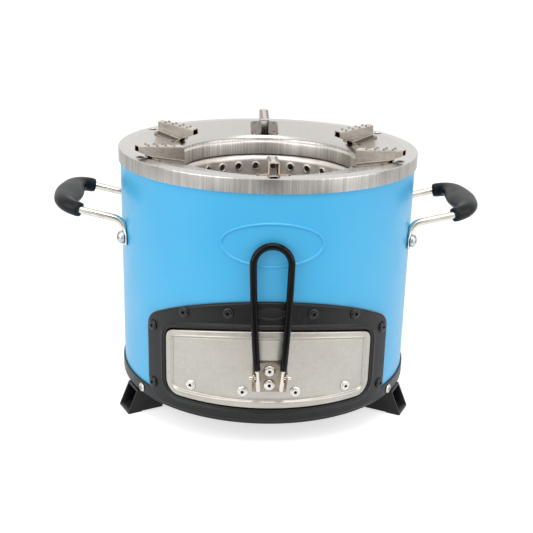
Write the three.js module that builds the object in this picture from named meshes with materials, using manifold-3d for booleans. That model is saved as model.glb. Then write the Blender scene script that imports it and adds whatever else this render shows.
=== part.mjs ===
// Charcoal stove: a round sheet-steel body with a cover ring, a perforated firebox, an ash drawer, two side
// handles and three feet. Millimetres, +z up. The stove stands on z = 0 and its front looks along -y.
import * as THREE from 'three';
import { mergeVertices } from 'three/addons/utils/BufferGeometryUtils.js';
import { ParametricGeometry } from 'three/addons/geometries/ParametricGeometry.js';
import Module from 'manifold-3d';

const wasm = await Module();
wasm.setup();

// Clearances and counts
const seat = 0.3; // where one piece rests on another
const over = 2; // how far a cutter runs past the face that it opens
const around = 60; // facets round the body
const cornerPoints = 4; // along each corner of a flat outline
const crownPoints = 10; // along its crowned top
const smallArcPoints = 4; // along a small rounded end

// Body
const bodyRadius = 145.6;
const bodyRise = 232.3; // foot of the band to the flat of the cover ring
const casingWall = 1;
const footHeight = 25;

// Base pan
const bandStep = 1.7; // how far the band stands out from the casing
const bandHeight = 12.5;
const bandEdge = 1.2;
const panFloor = 1.5;

// Cover ring
const ringWall = 1;
const ringStep = 1.8;
const skirtHeight = 13.3;
const ringEdge = 1.3;
const ringFlat = 11.4; // width of the flat outer band
const coverWidth = 52.4; // ring's edge to the mouth
const mouthDrop = 9;
const lipWidth = 3;
const lipDrop = 3;

// Flame collar
const collarInset = 5; // mouth's edge to the collar's wall
const collarWall = 0.8;
const collarDrop = 28.7; // cover flat to the collar's lower edge
const collarShoulder = 17.5; // cover flat to the start of its upright wall
const collarFlange = 12; // width of the rim that lies under the cover ring

// Firebox
const fireInset = 9; // mouth's edge to the firebox's wall
const fireWall = 1;
const fireFlangeDrop = 30; // cover flat to the top of the firebox flange
const fireShoulder = 5; // rounding from the wall out to the flange
const fireRoundShare = 0.33; // of the shoulder, to the middle of its rounding
const fireFlange = 17;
const fireLip = 10; // inward lip that holds the grate
const airHoleRadius = 4;
const airHoleCount = 28;
const airHoleRows = 2;
const airHoleDrop = 11.3; // firebox flange to the first row of holes
const airHolePitch = 26; // height from row to row
const airHoleSides = 8;

// Grate
const grateWall = 5;
const grateClear = 1.5;
const slotWidth = 6;
const slotGap = 8; // from ring to ring of slots
const slotCounts = [8, 16];
const grateHub = 13;
const grateRim = 11.5; // solid rim outside the slots

// Insulation and deck
const packingClear = 13; // from firebox to insulation
const deckWall = 1.2;
const deckClear = 5; // drawer front to deck
const deckHoleInset = 14; // from the firebox's wall in to the deck's hole

// Drawer front, drawn flat as arc length and height above the foot of the band
const frontStand = 4.4; // casing to the face of the drawer front
const frontWall = 1;
const frontHalf = 103.7;
const frontLow = 17.5;
const frontShoulder = 83;
const frontCrownRise = 10.7; // crown of the top edge above its shoulders
const frontTopCorner = 8.5;
const frontLowCorner = 15;
const frontBorder = 7;
const frontSink = 1.4;
const doorwayInset = 3; // how far the casing's opening lies inside the drawer front

// Ash tray and its guides
const traySideClear = 7.3; // doorway's side to the tray
const trayWall = 1;
const trayBackInset = 75.6; // casing's back to the tray's back
const trayHeadroom = 14;
const trayClear = 0.8;
const trayCorner = 8;
const trayFrontGap = 0.3;
const guideClear = 1;
const guideWall = 1.2;
const guideFlange = 15;
const guideLedge = 7;
const guideEndClear = 3;

// Door frame
const frameStand = 2; // casing to the back of the frame
const frameWall = 1.6;
const frameSide = 27.1; // drawer front's side to the frame's side
const frameSill = 14.5; // drawer front's foot to the frame's foot
const frameEaves = 11.2; // drawer front's shoulder to the frame's shoulder
const frameBrow = 27.3; // drawer front's crown to the frame's crown
const frameTopCorner = 12;
const frameLowCorner = 22;
const frameGap = 1.2; // between frame and drawer front
const frameBeadInset = 2;
const frameBeadWidth = 3;
const frameBeadHeight = 1;
const badgeHalf = 12.5;
const badgeRadius = 5.5;
const badgeDrop = 10.3; // frame's crown to the badge's middle
const badgeHeight = 0.5;

// Pressed panel on the casing
const panelHalf = 45;
const panelRadius = 19;
const panelRise = 173;
const panelBead = 2.6;
const panelHeight = 0.8;

// Blind rivets
const rivetHead = 4.75;
const rivetCrown = 1.5;
const rivetRim = 0.5;
const rivetShank = 2.4;
const rivetBore = 1.3;
const rivetSides = 10;
const frameTopRivets = [
  // place across half the frame, and drop below its crowned edge
  { acrossShare: 0.294, drop: 9 },
  { acrossShare: 0.63, drop: 5.1 },
];
const frameSideRivets = [
  // place across the frame's side strip, and up its height to the shoulder
  { acrossShare: 0.665, riseShare: 0.844 },
  { acrossShare: 0.695, riseShare: 0.197 },
];
const trayRivets = [
  // place across half the drawer front, and height above its foot
  { acrossShare: 0.235, lift: 15.7 },
  { acrossShare: 0.73, lift: 14.1 },
];

// Handle bracket, pivot pin and pull handle
const bracketHalf = 15.6;
const bracketWall = 1.5;
const bracketLow = 34.9;
const bracketHigh = 64.5;
const bracketRivetRises = [41.8, 55.7];
const pivotRise = 53.3;
const pivotStand = 9.6; // pin's axis to the bracket's plate
const earRadius = 5;
const earLow = 38;
const earHigh = 63;
const pinRadius = 1.75;
const pinHalf = 18.8;
const pinClear = 0.1;
const pinSides = 12;
const wireRadius = 2.1;
const sleeveRadius = 3.2;
const eyeRadius = 3.5;
const eyeWall = 4.6;
const bailLength = 120.9; // pivot to the middle of the wire at the top
const bailHalf = 16.75; // half the width of the loop, between wire centres
const bailWaist = 15.6; // half width at the middle of its legs
const bailWaistRise = 54.5;
const bailHeel = 12.8; // wire left below the pivot
const bailPivotHalf = 11.3;
const bailHeelHalf = 10.1;
const sleeveStart = 7;
const restLean = 4.6; // degrees that the folded bail leans to the body
const bailSteps = 4;
const wireSides = 8;
const sleeveSides = 8;

// Side handles
const strapAngle = 70.7; // from the front
const strapWidth = 15;
const strapWall = 2.6;
const strapBelow = 8.2; // screw's axis to the strap's lower end
const strapTaper = 0.6; // end of the pressed flat to the start of the bend
const armRadius = 3.6;
const armSlope = 0.232;
const loopStand = 52.4; // casing to the middle of the loop's wire
const loopCorner = 24;
const strapBend = 11;
const gripDepth = 18; // middle of the loop's wire to the grip's ends
const gripEndHalf = 7.3;
const gripMidHalf = 14;
const gripHeight = 14.6;
const gripEdge = 1.5;
const armSides = 8;
const gripSides = 12;
const bendSteps = 4;
const cornerSteps = 5;
const handleScrewRise = 149.2;
const handleScrewHead = 5;
const handleScrewCrown = 3.6;
const handleScrewShank = 2.5;
const handleScrewClear = 0.2; // screw's head to the end of the pressed flat

// Pot supports
const supportWidth = 10;
const supportWall = 1.2;
const supportLift = 6.2; // cover flat to the top of an inner tip
const supportTilt = 5.5; // degrees
const supportInnerReach = 10; // mouth's edge in to the inner tips
const supportOuterInset = 5.4; // ring's edge in to the outer tips
const innerFootMouth = 6.5; // mouth's edge to the foot of a support that reaches inwards
const innerFootEdge = 19.4; // that foot to the ring's edge
const outerFootMouth = 1; // the same, for one that reaches outwards
const outerFootEdge = 18.4;
const supportTipHeight = 6;
const supportFootWidth = 30;
const supportFootCorner = 4.5;
const nubRadius = 1.4;
const nubHeight = 1.2;
const nubPitch = 8.7;
const nubCount = 4;
const nubSides = 4;

// Ring screws in their dimples
const dimpleInset = 9; // from the ring's edge
const dimpleRadius = 5.2;
const dimpleDepth = 1.8;
const ringScrewHead = 3;
const ringScrewCrown = 1.2;
const ringScrewShank = 2;
const ringScrewLength = 8;
const ringScrewClear = 0.3;
const screwSides = 8;
const headRimShare = 0.33; // of a screw head's crown, to the edge of its rounding
const headFlatShare = 0.67; // of its radius, to the flat on top
const recessShare = 0.33; // of its radius, to the driving recess

// Feet and band screws
const footAngle = 63;
const footWidth = 25;
const footStand = 12.9; // casing to the toe
const footTopStand = 2.4; // casing to the foot's edge under the pan
const footInset = 29.6; // casing in to the foot's inner edge
const footHeelInset = 23.6; // casing in to the foot's heel
const footPad = 14; // length of the part that touches the floor
const footPadStep = 0.7;
const footToe = 1.2;
const footWall = 2.2;
const bandScrewClear = 14.5; // door frame's side to a front band screw, along the band
const bandScrewRise = 5.6;
const bandScrewHead = 4.6;
const bandScrewCrown = 1.5;
const bandScrewShank = 2;

// Heights and radii that follow from the sizes above
const baseZ = footHeight;
const panTop = baseZ + panFloor;
const bandTop = baseZ + bandHeight;
const topZ = baseZ + bodyRise;
const bandRadius = bodyRadius + bandStep;
const ringRadius = bodyRadius + ringStep;
const flatRadius = ringRadius - ringFlat;
const mouthRadius = ringRadius - coverWidth;
const collarRadius = mouthRadius - collarInset;
const fireRadius = mouthRadius - fireInset;
const frontRadius = bodyRadius + frontStand;
const frontDepth = 2 * frontRadius; // how far a front cutter reaches from the axis
const frontCrown = frontShoulder + frontCrownRise;
const frameHalf = frontHalf + frameSide;
const frameLow = frontLow - frameSill;
const frameShoulder = frontShoulder + frameEaves;
const frameCrown = frontCrown + frameBrow;
const badgeRise = frameCrown - badgeDrop;
const coneSlope = mouthDrop / (flatRadius - mouthRadius);
const lipRadius = mouthRadius - lipWidth;
const casingInner = bodyRadius - casingWall;
const casingLow = panTop + seat;
const casingHigh = topZ - ringWall - seat;
const deckLow = baseZ + frontCrown + deckClear;
const deckHigh = deckLow + deckWall;
const fireLow = deckHigh + seat;
const fireHigh = topZ - fireFlangeDrop;
const fireOuter = fireRadius + fireWall;
const fireRim = fireRadius + fireShoulder + fireFlange;
const frameInner = bodyRadius + frameStand;
const frameOuter = frameInner + frameWall;
const sunkRadius = frontRadius - frontSink;
const sunkInner = sunkRadius - frontWall;
const trayRadius = sunkInner - trayFrontGap;
const trayHalf = frontRadius * Math.sin((frontHalf - doorwayInset) / frontRadius) - traySideClear;
const trayReach = bodyRadius - trayBackInset;
const trayLow = baseZ + frontLow + doorwayInset + trayClear;
const trayHigh = baseZ + frontShoulder - trayHeadroom;
const guideInner = trayHalf + guideClear;
const guideOuter = guideInner + guideFlange;
const guideHalf = Math.sqrt(casingInner ** 2 - guideOuter ** 2) - guideEndClear;
const plateBack = sunkRadius + seat;
const plateFront = plateBack + bracketWall;
const pivotReach = plateFront + pivotStand;
const pivotZ = baseZ + pivotRise;
const strapRadius = bodyRadius + seat + strapWall / 2;
const strapLow = handleScrewRise - strapBelow;
const strapFlat = handleScrewRise + handleScrewHead + handleScrewClear;
const armRise = strapFlat + strapTaper + strapBend; // where the arm's line meets the casing
const loopReach = bodyRadius + loopStand;
const gripStart = loopReach - gripDepth;
const footReach = bodyRadius + footStand;
const footTopReach = bodyRadius + footTopStand;
const footInner = bodyRadius - footInset;
const footHeel = bodyRadius - footHeelInset;
const supportInnerTip = mouthRadius - supportInnerReach;
const supportOuterTip = ringRadius - supportOuterInset;
const supportInnerFoot = [mouthRadius + innerFootMouth, ringRadius - innerFootEdge];
const supportOuterFoot = [mouthRadius + outerFootMouth, ringRadius - outerFootEdge];
const frontReach = pivotReach + earRadius;

const degrees = THREE.MathUtils.degToRad;
const angleAlong = (length) => THREE.MathUtils.radToDeg(length / frontRadius);
const bandScrewAngle = angleAlong(frameHalf + bandScrewClear);
const coneZ = (r) => topZ - Math.max(0, flatRadius - r) * coneSlope;

// Makes a solid of a closed geometry, with its shared corners merged and its collapsed faces left out.
function toSolid(geometry) {
  const bare = geometry.clone();
  bare.deleteAttribute('normal');
  bare.deleteAttribute('uv');
  const merged = mergeVertices(bare);
  const faces = [];
  const index = merged.index.array;
  for (let i = 0; i < index.length; i += 3) {
    const [a, b, c] = [index[i], index[i + 1], index[i + 2]];
    if (a !== b && b !== c && c !== a) faces.push(a, b, c);
  }
  return new wasm.Manifold(
    new wasm.Mesh({
      numProp: 3,
      vertProperties: merged.attributes.position.array,
      triVerts: new Uint32Array(faces),
    }),
  );
}

// Gives a solid back as a geometry with flat faces.
function toGeometry(solid) {
  const mesh = solid.getMesh();
  const geometry = new THREE.BufferGeometry();
  geometry.setAttribute('position', new THREE.BufferAttribute(mesh.vertProperties, 3));
  geometry.setIndex(new THREE.BufferAttribute(mesh.triVerts, 1));
  const flat = geometry.toNonIndexed();
  flat.computeVertexNormals();
  return flat;
}

const join = (first, ...others) => others.reduce((sum, solid) => sum.add(solid), first);
const cut = (first, ...tools) => tools.reduce((rest, tool) => rest.subtract(tool), first);

// Turns a half section of [radius, height] pairs about z. Its first corners stand at an angle from the front.
function revolve(section, sides = around, start = 0) {
  const points = section.map(([r, z]) => new THREE.Vector2(r, z));
  if (THREE.ShapeUtils.isClockWise(points)) points.reverse();
  const onAxis = points[0].x === 0 && points.at(-1).x === 0;
  if (!onAxis) points.push(points[0].clone());
  return toSolid(new THREE.LatheGeometry(points, sides).rotateX(Math.PI / 2).rotateZ(degrees(start)));
}

// A round wall about z.
function roundWall(inner, outer, low, high, sides = around) {
  return revolve([[inner, low], [outer, low], [outer, high], [inner, high]], sides);
}

// Extrudes an outline of x and z from the body's axis out past the front.
function frontPrism(outline) {
  const shape = new THREE.Shape(outline);
  const geometry = new THREE.ExtrudeGeometry(shape, { depth: frontDepth, bevelEnabled: false });
  return toSolid(geometry.rotateX(Math.PI / 2));
}

// Extrudes a plan outline upwards from one height to another.
function planPrism(shape, low, high) {
  const geometry = new THREE.ExtrudeGeometry(shape, {
    depth: high - low,
    bevelEnabled: false,
    curveSegments: smallArcPoints,
  });
  return toSolid(geometry.translate(0, 0, low));
}

// Extrudes a side view of [distance from the axis, height] pairs to a width. It looks to the front.
function radialPlate(outline, width, middle = 0) {
  const shape = new THREE.Shape(outline.map(([r, z]) => new THREE.Vector2(r, z)));
  const geometry = new THREE.ExtrudeGeometry(shape, { depth: width, bevelEnabled: false });
  const turned = new THREE.Matrix4().makeBasis(
    new THREE.Vector3(0, -1, 0),
    new THREE.Vector3(0, 0, 1),
    new THREE.Vector3(-1, 0, 0),
  );
  return toSolid(geometry.applyMatrix4(turned).translate(middle + width / 2, 0, 0));
}

// A round bar along a radius of the body, from one distance to another.
function radialBar(radius, from, to, angle, z, sides) {
  const geometry = new THREE.CylinderGeometry(radius, radius, to - from, sides);
  geometry.translate(0, -(from + to) / 2, z).rotateZ(degrees(angle));
  return toSolid(geometry);
}

// Rolls points drawn flat, as arc length and height above the foot of the band, into x and z.
function rolled(points) {
  return points.map((p) => new THREE.Vector2(frontRadius * Math.sin(p.x / frontRadius), baseZ + p.y));
}

// Number of chords that stand for a part of an outline: a straight side, a corner or a crowned top.
function curveSteps(curve) {
  if (curve.isLineCurve) return 1;
  return Math.sign(curve.getPoint(0).x) === Math.sign(curve.getPoint(1).x) ? cornerPoints : crownPoints;
}

// A flat foot and sides, a crowned top and four rounded corners, grown outwards by a margin.
function crownedOutline(half, low, shoulder, crown, topCorner, lowCorner, margin) {
  const side = half + margin;
  const foot = low - margin;
  const edge = shoulder + margin;
  const small = Math.max(topCorner + margin, seat);
  const large = Math.max(lowCorner + margin, seat);
  const flat = side - small;
  const slope = (2 * (crown - shoulder)) / flat;
  const path = new THREE.Path();
  path.moveTo(-side + large, foot);
  path.lineTo(side - large, foot);
  path.absarc(side - large, foot + large, large, -Math.PI / 2, 0, false);
  path.lineTo(side, edge - slope * small - small);
  path.quadraticCurveTo(side, edge - slope * small, flat, edge);
  path.quadraticCurveTo(0, edge + 2 * (crown - shoulder), -flat, edge);
  path.quadraticCurveTo(-side, edge - slope * small, -side, edge - slope * small - small);
  path.lineTo(-side, foot + large);
  path.absarc(-side + large, foot + large, large, -Math.PI, -Math.PI / 2, false);
  return rolled(path.curves.flatMap((curve) => curve.getPoints(curveSteps(curve)).slice(1)));
}

const frontOutline = (margin) =>
  crownedOutline(frontHalf, frontLow, frontShoulder, frontCrown, frontTopCorner, frontLowCorner, margin);
const frameOutline = (margin) =>
  crownedOutline(frameHalf, frameLow, frameShoulder, frameCrown, frameTopCorner, frameLowCorner, margin);

// An outline with straight long sides and half-round ends.
function stadiumOutline(half, radius, rise) {
  const path = new THREE.Path();
  path.absarc(half - radius, rise, radius, -Math.PI / 2, Math.PI / 2, false);
  path.absarc(radius - half, rise, radius, Math.PI / 2, (3 * Math.PI) / 2, false);
  return rolled(path.getPoints(smallArcPoints));
}

// A plate on the body, between two radii, inside an outline.
function curvedPlate(inner, outer, outline) {
  return roundWall(inner, outer, baseZ - over, topZ).intersect(frontPrism(outline));
}

// The same, with an opening.
function curvedFrame(inner, outer, outline, opening) {
  return cut(curvedPlate(inner, outer, outline), frontPrism(opening));
}

// Closed bar through rings of points that turn clockwise about its length; the end rings are filled.
function loft(rings) {
  const middle = (ring) => ring.reduce((sum, p) => sum.add(p), new THREE.Vector3()).divideScalar(ring.length);
  const ends = [rings[0], rings.at(-1)].map((ring) => Array(ring.length).fill(middle(ring)));
  const rows = [ends[0], ...rings, ends[1]];
  const sides = rings[0].length;
  const last = rows.length - 1;
  const surface = (u, v, target) => {
    const corner = (sides - Math.round(u * sides)) % sides;
    return target.copy(rows[Math.round(v * last)][corner]);
  };
  return toSolid(new ParametricGeometry(surface, sides, last));
}

// A curve through given points, sampled at those points alone.
class Polyline extends THREE.Curve {
  constructor(points) {
    super();
    this.points = points;
  }

  getPoint(t, target = new THREE.Vector3()) {
    const last = this.points.length - 1;
    const i = Math.min(Math.floor(t * last), last - 1);
    return target.lerpVectors(this.points[i], this.points[i + 1], t * last - i);
  }

  getSpacedPoints(divisions) {
    return this.getPoints(divisions);
  }

  getTangentAt(u, target) {
    return this.getTangent(u, target);
  }
}

// A round bar through given points.
function tube(points, radius, sides) {
  const corner = (i) => (2 * Math.PI * i) / sides;
  const section = Array.from(
    { length: sides },
    (_, i) => new THREE.Vector2(radius * Math.cos(corner(i)), radius * Math.sin(corner(i))),
  );
  const bar = new THREE.ExtrudeGeometry(new THREE.Shape(section), {
    extrudePath: new Polyline(points),
    steps: points.length - 1,
    bevelEnabled: false,
  });
  return toSolid(bar);
}

// Blue casing: a plain sheet cylinder with the drawer's doorway and a raised blank panel.
function outerShell() {
  const wall = roundWall(casingInner, bodyRadius, casingLow, casingHigh);
  const bead = curvedFrame(
    casingInner + casingWall / 2,
    bodyRadius + panelHeight,
    stadiumOutline(panelHalf, panelRadius, panelRise),
    stadiumOutline(panelHalf - panelBead, panelRadius - panelBead, panelRise),
  );
  const doorway = frontPrism(frontOutline(-doorwayInset));
  const rivetHoles = frameRivetPlaces().map(({ angle, rise }) =>
    radialBar(rivetShank + seat, casingInner - over, bodyRadius + over, angle, baseZ + rise, rivetSides),
  );
  const screwZ = baseZ + handleScrewRise;
  const screwHoles = strapAngles().map((angle) =>
    radialBar(handleScrewShank + seat, casingInner - over, bodyRadius + over, angle, screwZ, screwSides),
  );
  return cut(join(wall, bead), doorway, ...rivetHoles, ...screwHoles);
}

// Height of the frame's crowned edge at a distance across.
function frameEdge(across) {
  const flat = frameHalf - frameTopCorner;
  return frameCrown - (frameCrown - frameShoulder) * (across / flat) ** 2;
}

// Both places of a rivet that stands at the same distance left and right.
const pair = (across, rise) => [-across, across].map((length) => ({ angle: angleAlong(length), rise }));

function frameRivetPlaces() {
  const top = frameTopRivets.flatMap(({ acrossShare, drop }) => {
    const across = acrossShare * frameHalf;
    return pair(across, frameEdge(across) - drop);
  });
  const sides = frameSideRivets.flatMap(({ acrossShare, riseShare }) =>
    pair(frontHalf + acrossShare * frameSide, frameLow + riseShare * (frameShoulder - frameLow)),
  );
  return [...top, ...sides];
}

const trayRivetPlaces = () =>
  trayRivets.flatMap(({ acrossShare, lift }) => pair(acrossShare * frontHalf, frontLow + lift));
const strapAngles = () => [strapAngle, 180 - strapAngle, -strapAngle, strapAngle - 180];
const bandScrewAngles = () => [-bandScrewAngle, bandScrewAngle, 180];
const ringAngles = () => [0, 60, 120, 180, -120, -60];

// Black pan: floor and band in one.
function basePan() {
  const inner = bodyRadius + seat;
  const pan = revolve([
    [0, baseZ],
    [bandRadius - bandEdge, baseZ],
    [bandRadius, baseZ + bandEdge],
    [bandRadius, bandTop - bandEdge],
    [bandRadius - bandEdge / 2, bandTop],
    [inner, bandTop],
    [inner, panTop],
    [0, panTop],
  ]);
  const screwZ = baseZ + bandScrewRise;
  const holes = bandScrewAngles().map((angle) =>
    radialBar(bandScrewShank + seat, bodyRadius - over, bandRadius + over, angle, screwZ, screwSides),
  );
  return cut(pan, ...holes);
}

// Cover ring: skirt, flat band, shallow cone and rolled lip, with six dimples for its screws.
function topRing() {
  const inner = ringRadius - ringWall;
  const ring = revolve([
    [ringRadius, topZ - skirtHeight],
    [ringRadius, topZ - ringEdge],
    [ringRadius - ringEdge, topZ],
    [flatRadius, topZ],
    [mouthRadius, topZ - mouthDrop],
    [lipRadius, topZ - mouthDrop - lipDrop],
    [lipRadius + ringWall, topZ - mouthDrop - lipDrop],
    [mouthRadius, topZ - mouthDrop - ringWall],
    [flatRadius, topZ - ringWall],
    [inner, topZ - ringWall],
    [inner, topZ - skirtHeight],
  ]);
  const cups = ringAngles().map((angle) => dimple(dimpleRadius + ringWall, dimpleDepth + ringWall, 0, angle));
  const bowls = ringAngles().map((angle) => dimple(dimpleRadius, dimpleDepth, over, angle));
  const bore = ringScrewShank + ringScrewClear;
  const holes = ringAngles().map((angle) => upright(bore, -ringScrewLength, over, angle));
  return cut(join(ring, ...cups), ...bowls, ...holes);
}

const dimpleReach = ringRadius - dimpleInset;

// A cone that narrows downwards from the cover's flat, at a ring screw's place.
function dimple(radius, depth, above, angle) {
  const lower = ringScrewHead + ringScrewClear + (radius - dimpleRadius);
  const section = [
    [0, topZ - depth],
    [lower, topZ - depth],
    [radius, topZ],
    [radius, topZ + above],
    [0, topZ + above],
  ];
  const cone = above > 0 ? section : [section[0], section[1], section[2], [0, topZ]];
  const points = cone.map(([r, z]) => new THREE.Vector2(r, z));
  const geometry = new THREE.LatheGeometry(points, screwSides).rotateX(Math.PI / 2);
  return toSolid(geometry.translate(0, -dimpleReach, 0).rotateZ(degrees(angle)));
}

// An upright bar at a ring screw's place, between two heights from the cover's flat.
function upright(radius, from, to, angle) {
  const geometry = new THREE.CylinderGeometry(radius, radius, to - from, screwSides).rotateX(Math.PI / 2);
  return toSolid(geometry.translate(0, -dimpleReach, topZ + (from + to) / 2).rotateZ(degrees(angle)));
}

// Collar under the lip: a rim against the cover's cone and an upright wall.
function flameCollar() {
  const under = (r) => coneZ(r) - ringWall / Math.cos(Math.atan(coneSlope)) - seat;
  const rimIn = mouthRadius + lipWidth;
  const rimOut = rimIn + collarFlange;
  const shoulder = topZ - collarShoulder;
  const neck = (shoulder + under(rimIn)) / 2;
  const outer = collarRadius + collarWall;
  return revolve([
    [outer, topZ - collarDrop],
    [outer, shoulder - collarWall],
    [rimIn, under(rimIn) - collarWall],
    [rimOut, under(rimOut) - collarWall],
    [rimOut, under(rimOut)],
    [rimIn, under(rimIn)],
    [mouthRadius - collarWall, neck],
    [collarRadius, shoulder - collarWall],
    [collarRadius, topZ - collarDrop],
  ]);
}

// Firebox: a perforated wall with a rounded shoulder, a rim on the insulation and a lip for the grate.
function combustionChamber() {
  const step = 360 / airHoleCount;
  const section = [
    [fireRadius - fireLip, fireLow],
    [fireOuter, fireLow],
    [fireOuter, fireHigh - fireWall - fireShoulder],
    [fireOuter + fireShoulder, fireHigh - fireWall],
    [fireRim, fireHigh - fireWall],
    [fireRim, fireHigh],
    [fireRadius + fireShoulder, fireHigh],
    [fireRadius + fireRoundShare * fireShoulder, fireHigh - fireRoundShare * fireShoulder],
    [fireRadius, fireHigh - fireShoulder],
    [fireRadius, fireLow + fireWall],
    [fireRadius - fireLip, fireLow + fireWall],
  ];
  const shell = revolve(section, 2 * airHoleCount, step / 4);
  const holes = [];
  for (let row = 0; row < airHoleRows; row += 1) {
    const z = fireHigh - airHoleDrop - row * airHolePitch;
    for (let i = 0; i < airHoleCount; i += 1) {
      const angle = (i + (row % 2) / 2) * step;
      holes.push(radialBar(airHoleRadius, fireRadius - over, fireOuter + over, angle, z, airHoleSides));
    }
  }
  return cut(shell, ...holes);
}

// Loose grate: a disc with two rings of radial slots and a hub hole.
function charcoalGrate() {
  const radius = fireRadius - grateClear;
  const slotLength = (radius - grateHub - grateRim - slotGap) / 2;
  const low = fireLow + fireWall + seat;
  const high = low + grateWall;
  const disc = revolve([[0, low], [radius, low], [radius, high], [0, high]], around / 2);
  const slots = slotCounts.flatMap((count, ring) => {
    const reach = grateHub + slotLength / 2 + ring * (slotLength + slotGap);
    return Array.from({ length: count }, (_, i) => {
      const slot = new THREE.BoxGeometry(slotWidth, slotLength, grateWall + 2 * over);
      slot.translate(0, -reach, low + grateWall / 2).rotateZ(degrees((i * 360) / count));
      return toSolid(slot);
    });
  });
  return cut(disc, ...slots);
}

// Ring of insulation between firebox and casing.
function insulation() {
  const low = deckHigh + seat;
  const high = fireHigh - fireWall - seat;
  return roundWall(fireOuter + packingClear, casingInner - seat, low, high, around / 2);
}

// Deck that carries the firebox and the insulation.
function deckPlate() {
  return roundWall(fireRadius - deckHoleInset, casingInner - seat, deckLow, deckHigh, around / 2);
}

// Side guide, bent from one strip: foot on the pan, web, ledge for the tray and rim under the deck.
function guide() {
  const low = panTop + seat;
  const high = deckLow - seat;
  const ledge = trayLow - seat;
  const web = guideInner + guideWall;
  const section = [
    [guideInner, low],
    [guideOuter, low],
    [guideOuter, low + guideWall],
    [web, low + guideWall],
    [web, high - guideWall],
    [guideOuter, high - guideWall],
    [guideOuter, high],
    [guideInner, high],
    [guideInner, ledge],
    [guideInner - guideLedge, ledge],
    [guideInner - guideLedge, ledge - guideWall],
    [guideInner, ledge - guideWall],
  ];
  const shape = new THREE.Shape(section.map(([x, z]) => new THREE.Vector2(x, z)));
  const geometry = new THREE.ExtrudeGeometry(shape, { depth: 2 * guideHalf, bevelEnabled: false });
  return toSolid(geometry.rotateX(Math.PI / 2).translate(0, guideHalf, 0));
}

// Ash tray: an open box whose front wall follows the drawer front.
function ashTray() {
  const box = (inset, low, high) => {
    const half = trayHalf - inset;
    const back = trayReach - inset;
    const corner = trayCorner - inset;
    const shape = new THREE.Shape();
    shape.moveTo(-half, -frontDepth);
    shape.lineTo(half, -frontDepth);
    shape.lineTo(half, back - corner);
    shape.absarc(half - corner, back - corner, corner, 0, Math.PI / 2, false);
    shape.lineTo(corner - half, back);
    shape.absarc(corner - half, back - corner, corner, Math.PI / 2, Math.PI, false);
    const round = revolve([[0, low], [trayRadius - inset, low], [trayRadius - inset, high], [0, high]]);
    return round.intersect(planPrism(shape, low - over, high + over));
  };
  const tray = cut(box(0, trayLow, trayHigh), box(trayWall, trayLow + trayWall, trayHigh + over));
  return cut(tray, ...drawerRivetHoles());
}

// Holes of the drawer front's six rivets, through the front and the tray.
function drawerRivetHoles() {
  const from = trayRadius - trayWall - over;
  const places = [...trayRivetPlaces(), ...bracketRivetRises.map((rise) => ({ angle: 0, rise }))];
  return places.map(({ angle, rise }) =>
    radialBar(rivetShank + seat, from, frontRadius + over, angle, baseZ + rise, rivetSides),
  );
}

// Drawer front: a border at full radius, a sunk field, and an edge turned back to the casing.
function drawerFront() {
  const field = frontOutline(-frontBorder);
  const border = curvedFrame(frontRadius - frontWall, frontRadius, frontOutline(0), field);
  const step = curvedFrame(sunkInner, frontRadius, frontOutline(frontWall - frontBorder), field);
  const sunk = curvedPlate(sunkInner, sunkRadius, frontOutline(frontWall / 2 - frontBorder));
  const edge = curvedFrame(bodyRadius + seat, frontRadius, frontOutline(0), frontOutline(-frontWall));
  return cut(join(border, step, sunk, edge), ...drawerRivetHoles());
}

// Door frame: a plate that stands off the casing, with edges turned back to it and a bead round the opening.
function doorFrame() {
  const opening = frontOutline(frameGap);
  const plate = curvedFrame(frameInner, frameOuter, frameOutline(0), opening);
  const rim = curvedFrame(bodyRadius + seat, frameOuter, frameOutline(0), frameOutline(-frameWall));
  const band = roundWall(bodyRadius - over, frameInner, baseZ - over, bandTop + seat);
  const beadIn = frontOutline(frameGap + frameBeadInset);
  const beadOut = frontOutline(frameGap + frameBeadInset + frameBeadWidth);
  const bead = curvedFrame(frameOuter - frameWall / 2, frameOuter + frameBeadHeight, beadOut, beadIn);
  const badgeOutline = stadiumOutline(badgeHalf, badgeRadius, badgeRise);
  const badge = curvedPlate(frameOuter - frameWall / 2, frameOuter + badgeHeight, badgeOutline);
  const holes = frameRivetPlaces().map(({ angle, rise }) =>
    radialBar(rivetShank + seat, bodyRadius - over, frameOuter + over, angle, baseZ + rise, rivetSides),
  );
  return cut(join(plate, cut(rim, band), bead, badge), ...holes);
}

// Blind rivet, head towards -y, with its back at y = 0.
function rivet(length) {
  const section = [
    [0, -length],
    [rivetShank, -length],
    [rivetShank, 0],
    [rivetHead, 0],
    [rivetHead, rivetRim],
    [rivetBore, rivetCrown],
    [0, rivetRim],
  ];
  return standing(section, rivetSides);
}

// A small turned piece whose axis runs along -y.
function standing(section, sides) {
  const points = section.map(([r, y]) => new THREE.Vector2(r, y));
  return toSolid(new THREE.LatheGeometry(points, sides).rotateX(Math.PI));
}

// Round-headed screw, head towards -y, with its head's back at y = 0 and a driving recess.
function screw(head, crown, shank, length) {
  const recess = crown / 2;
  return standing(
    [
      [0, -length],
      [shank, -length],
      [shank, 0],
      [head, 0],
      [head, headRimShare * crown],
      [headFlatShare * head, crown],
      [recessShare * head, crown],
      [0, recess],
    ],
    screwSides,
  );
}

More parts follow.
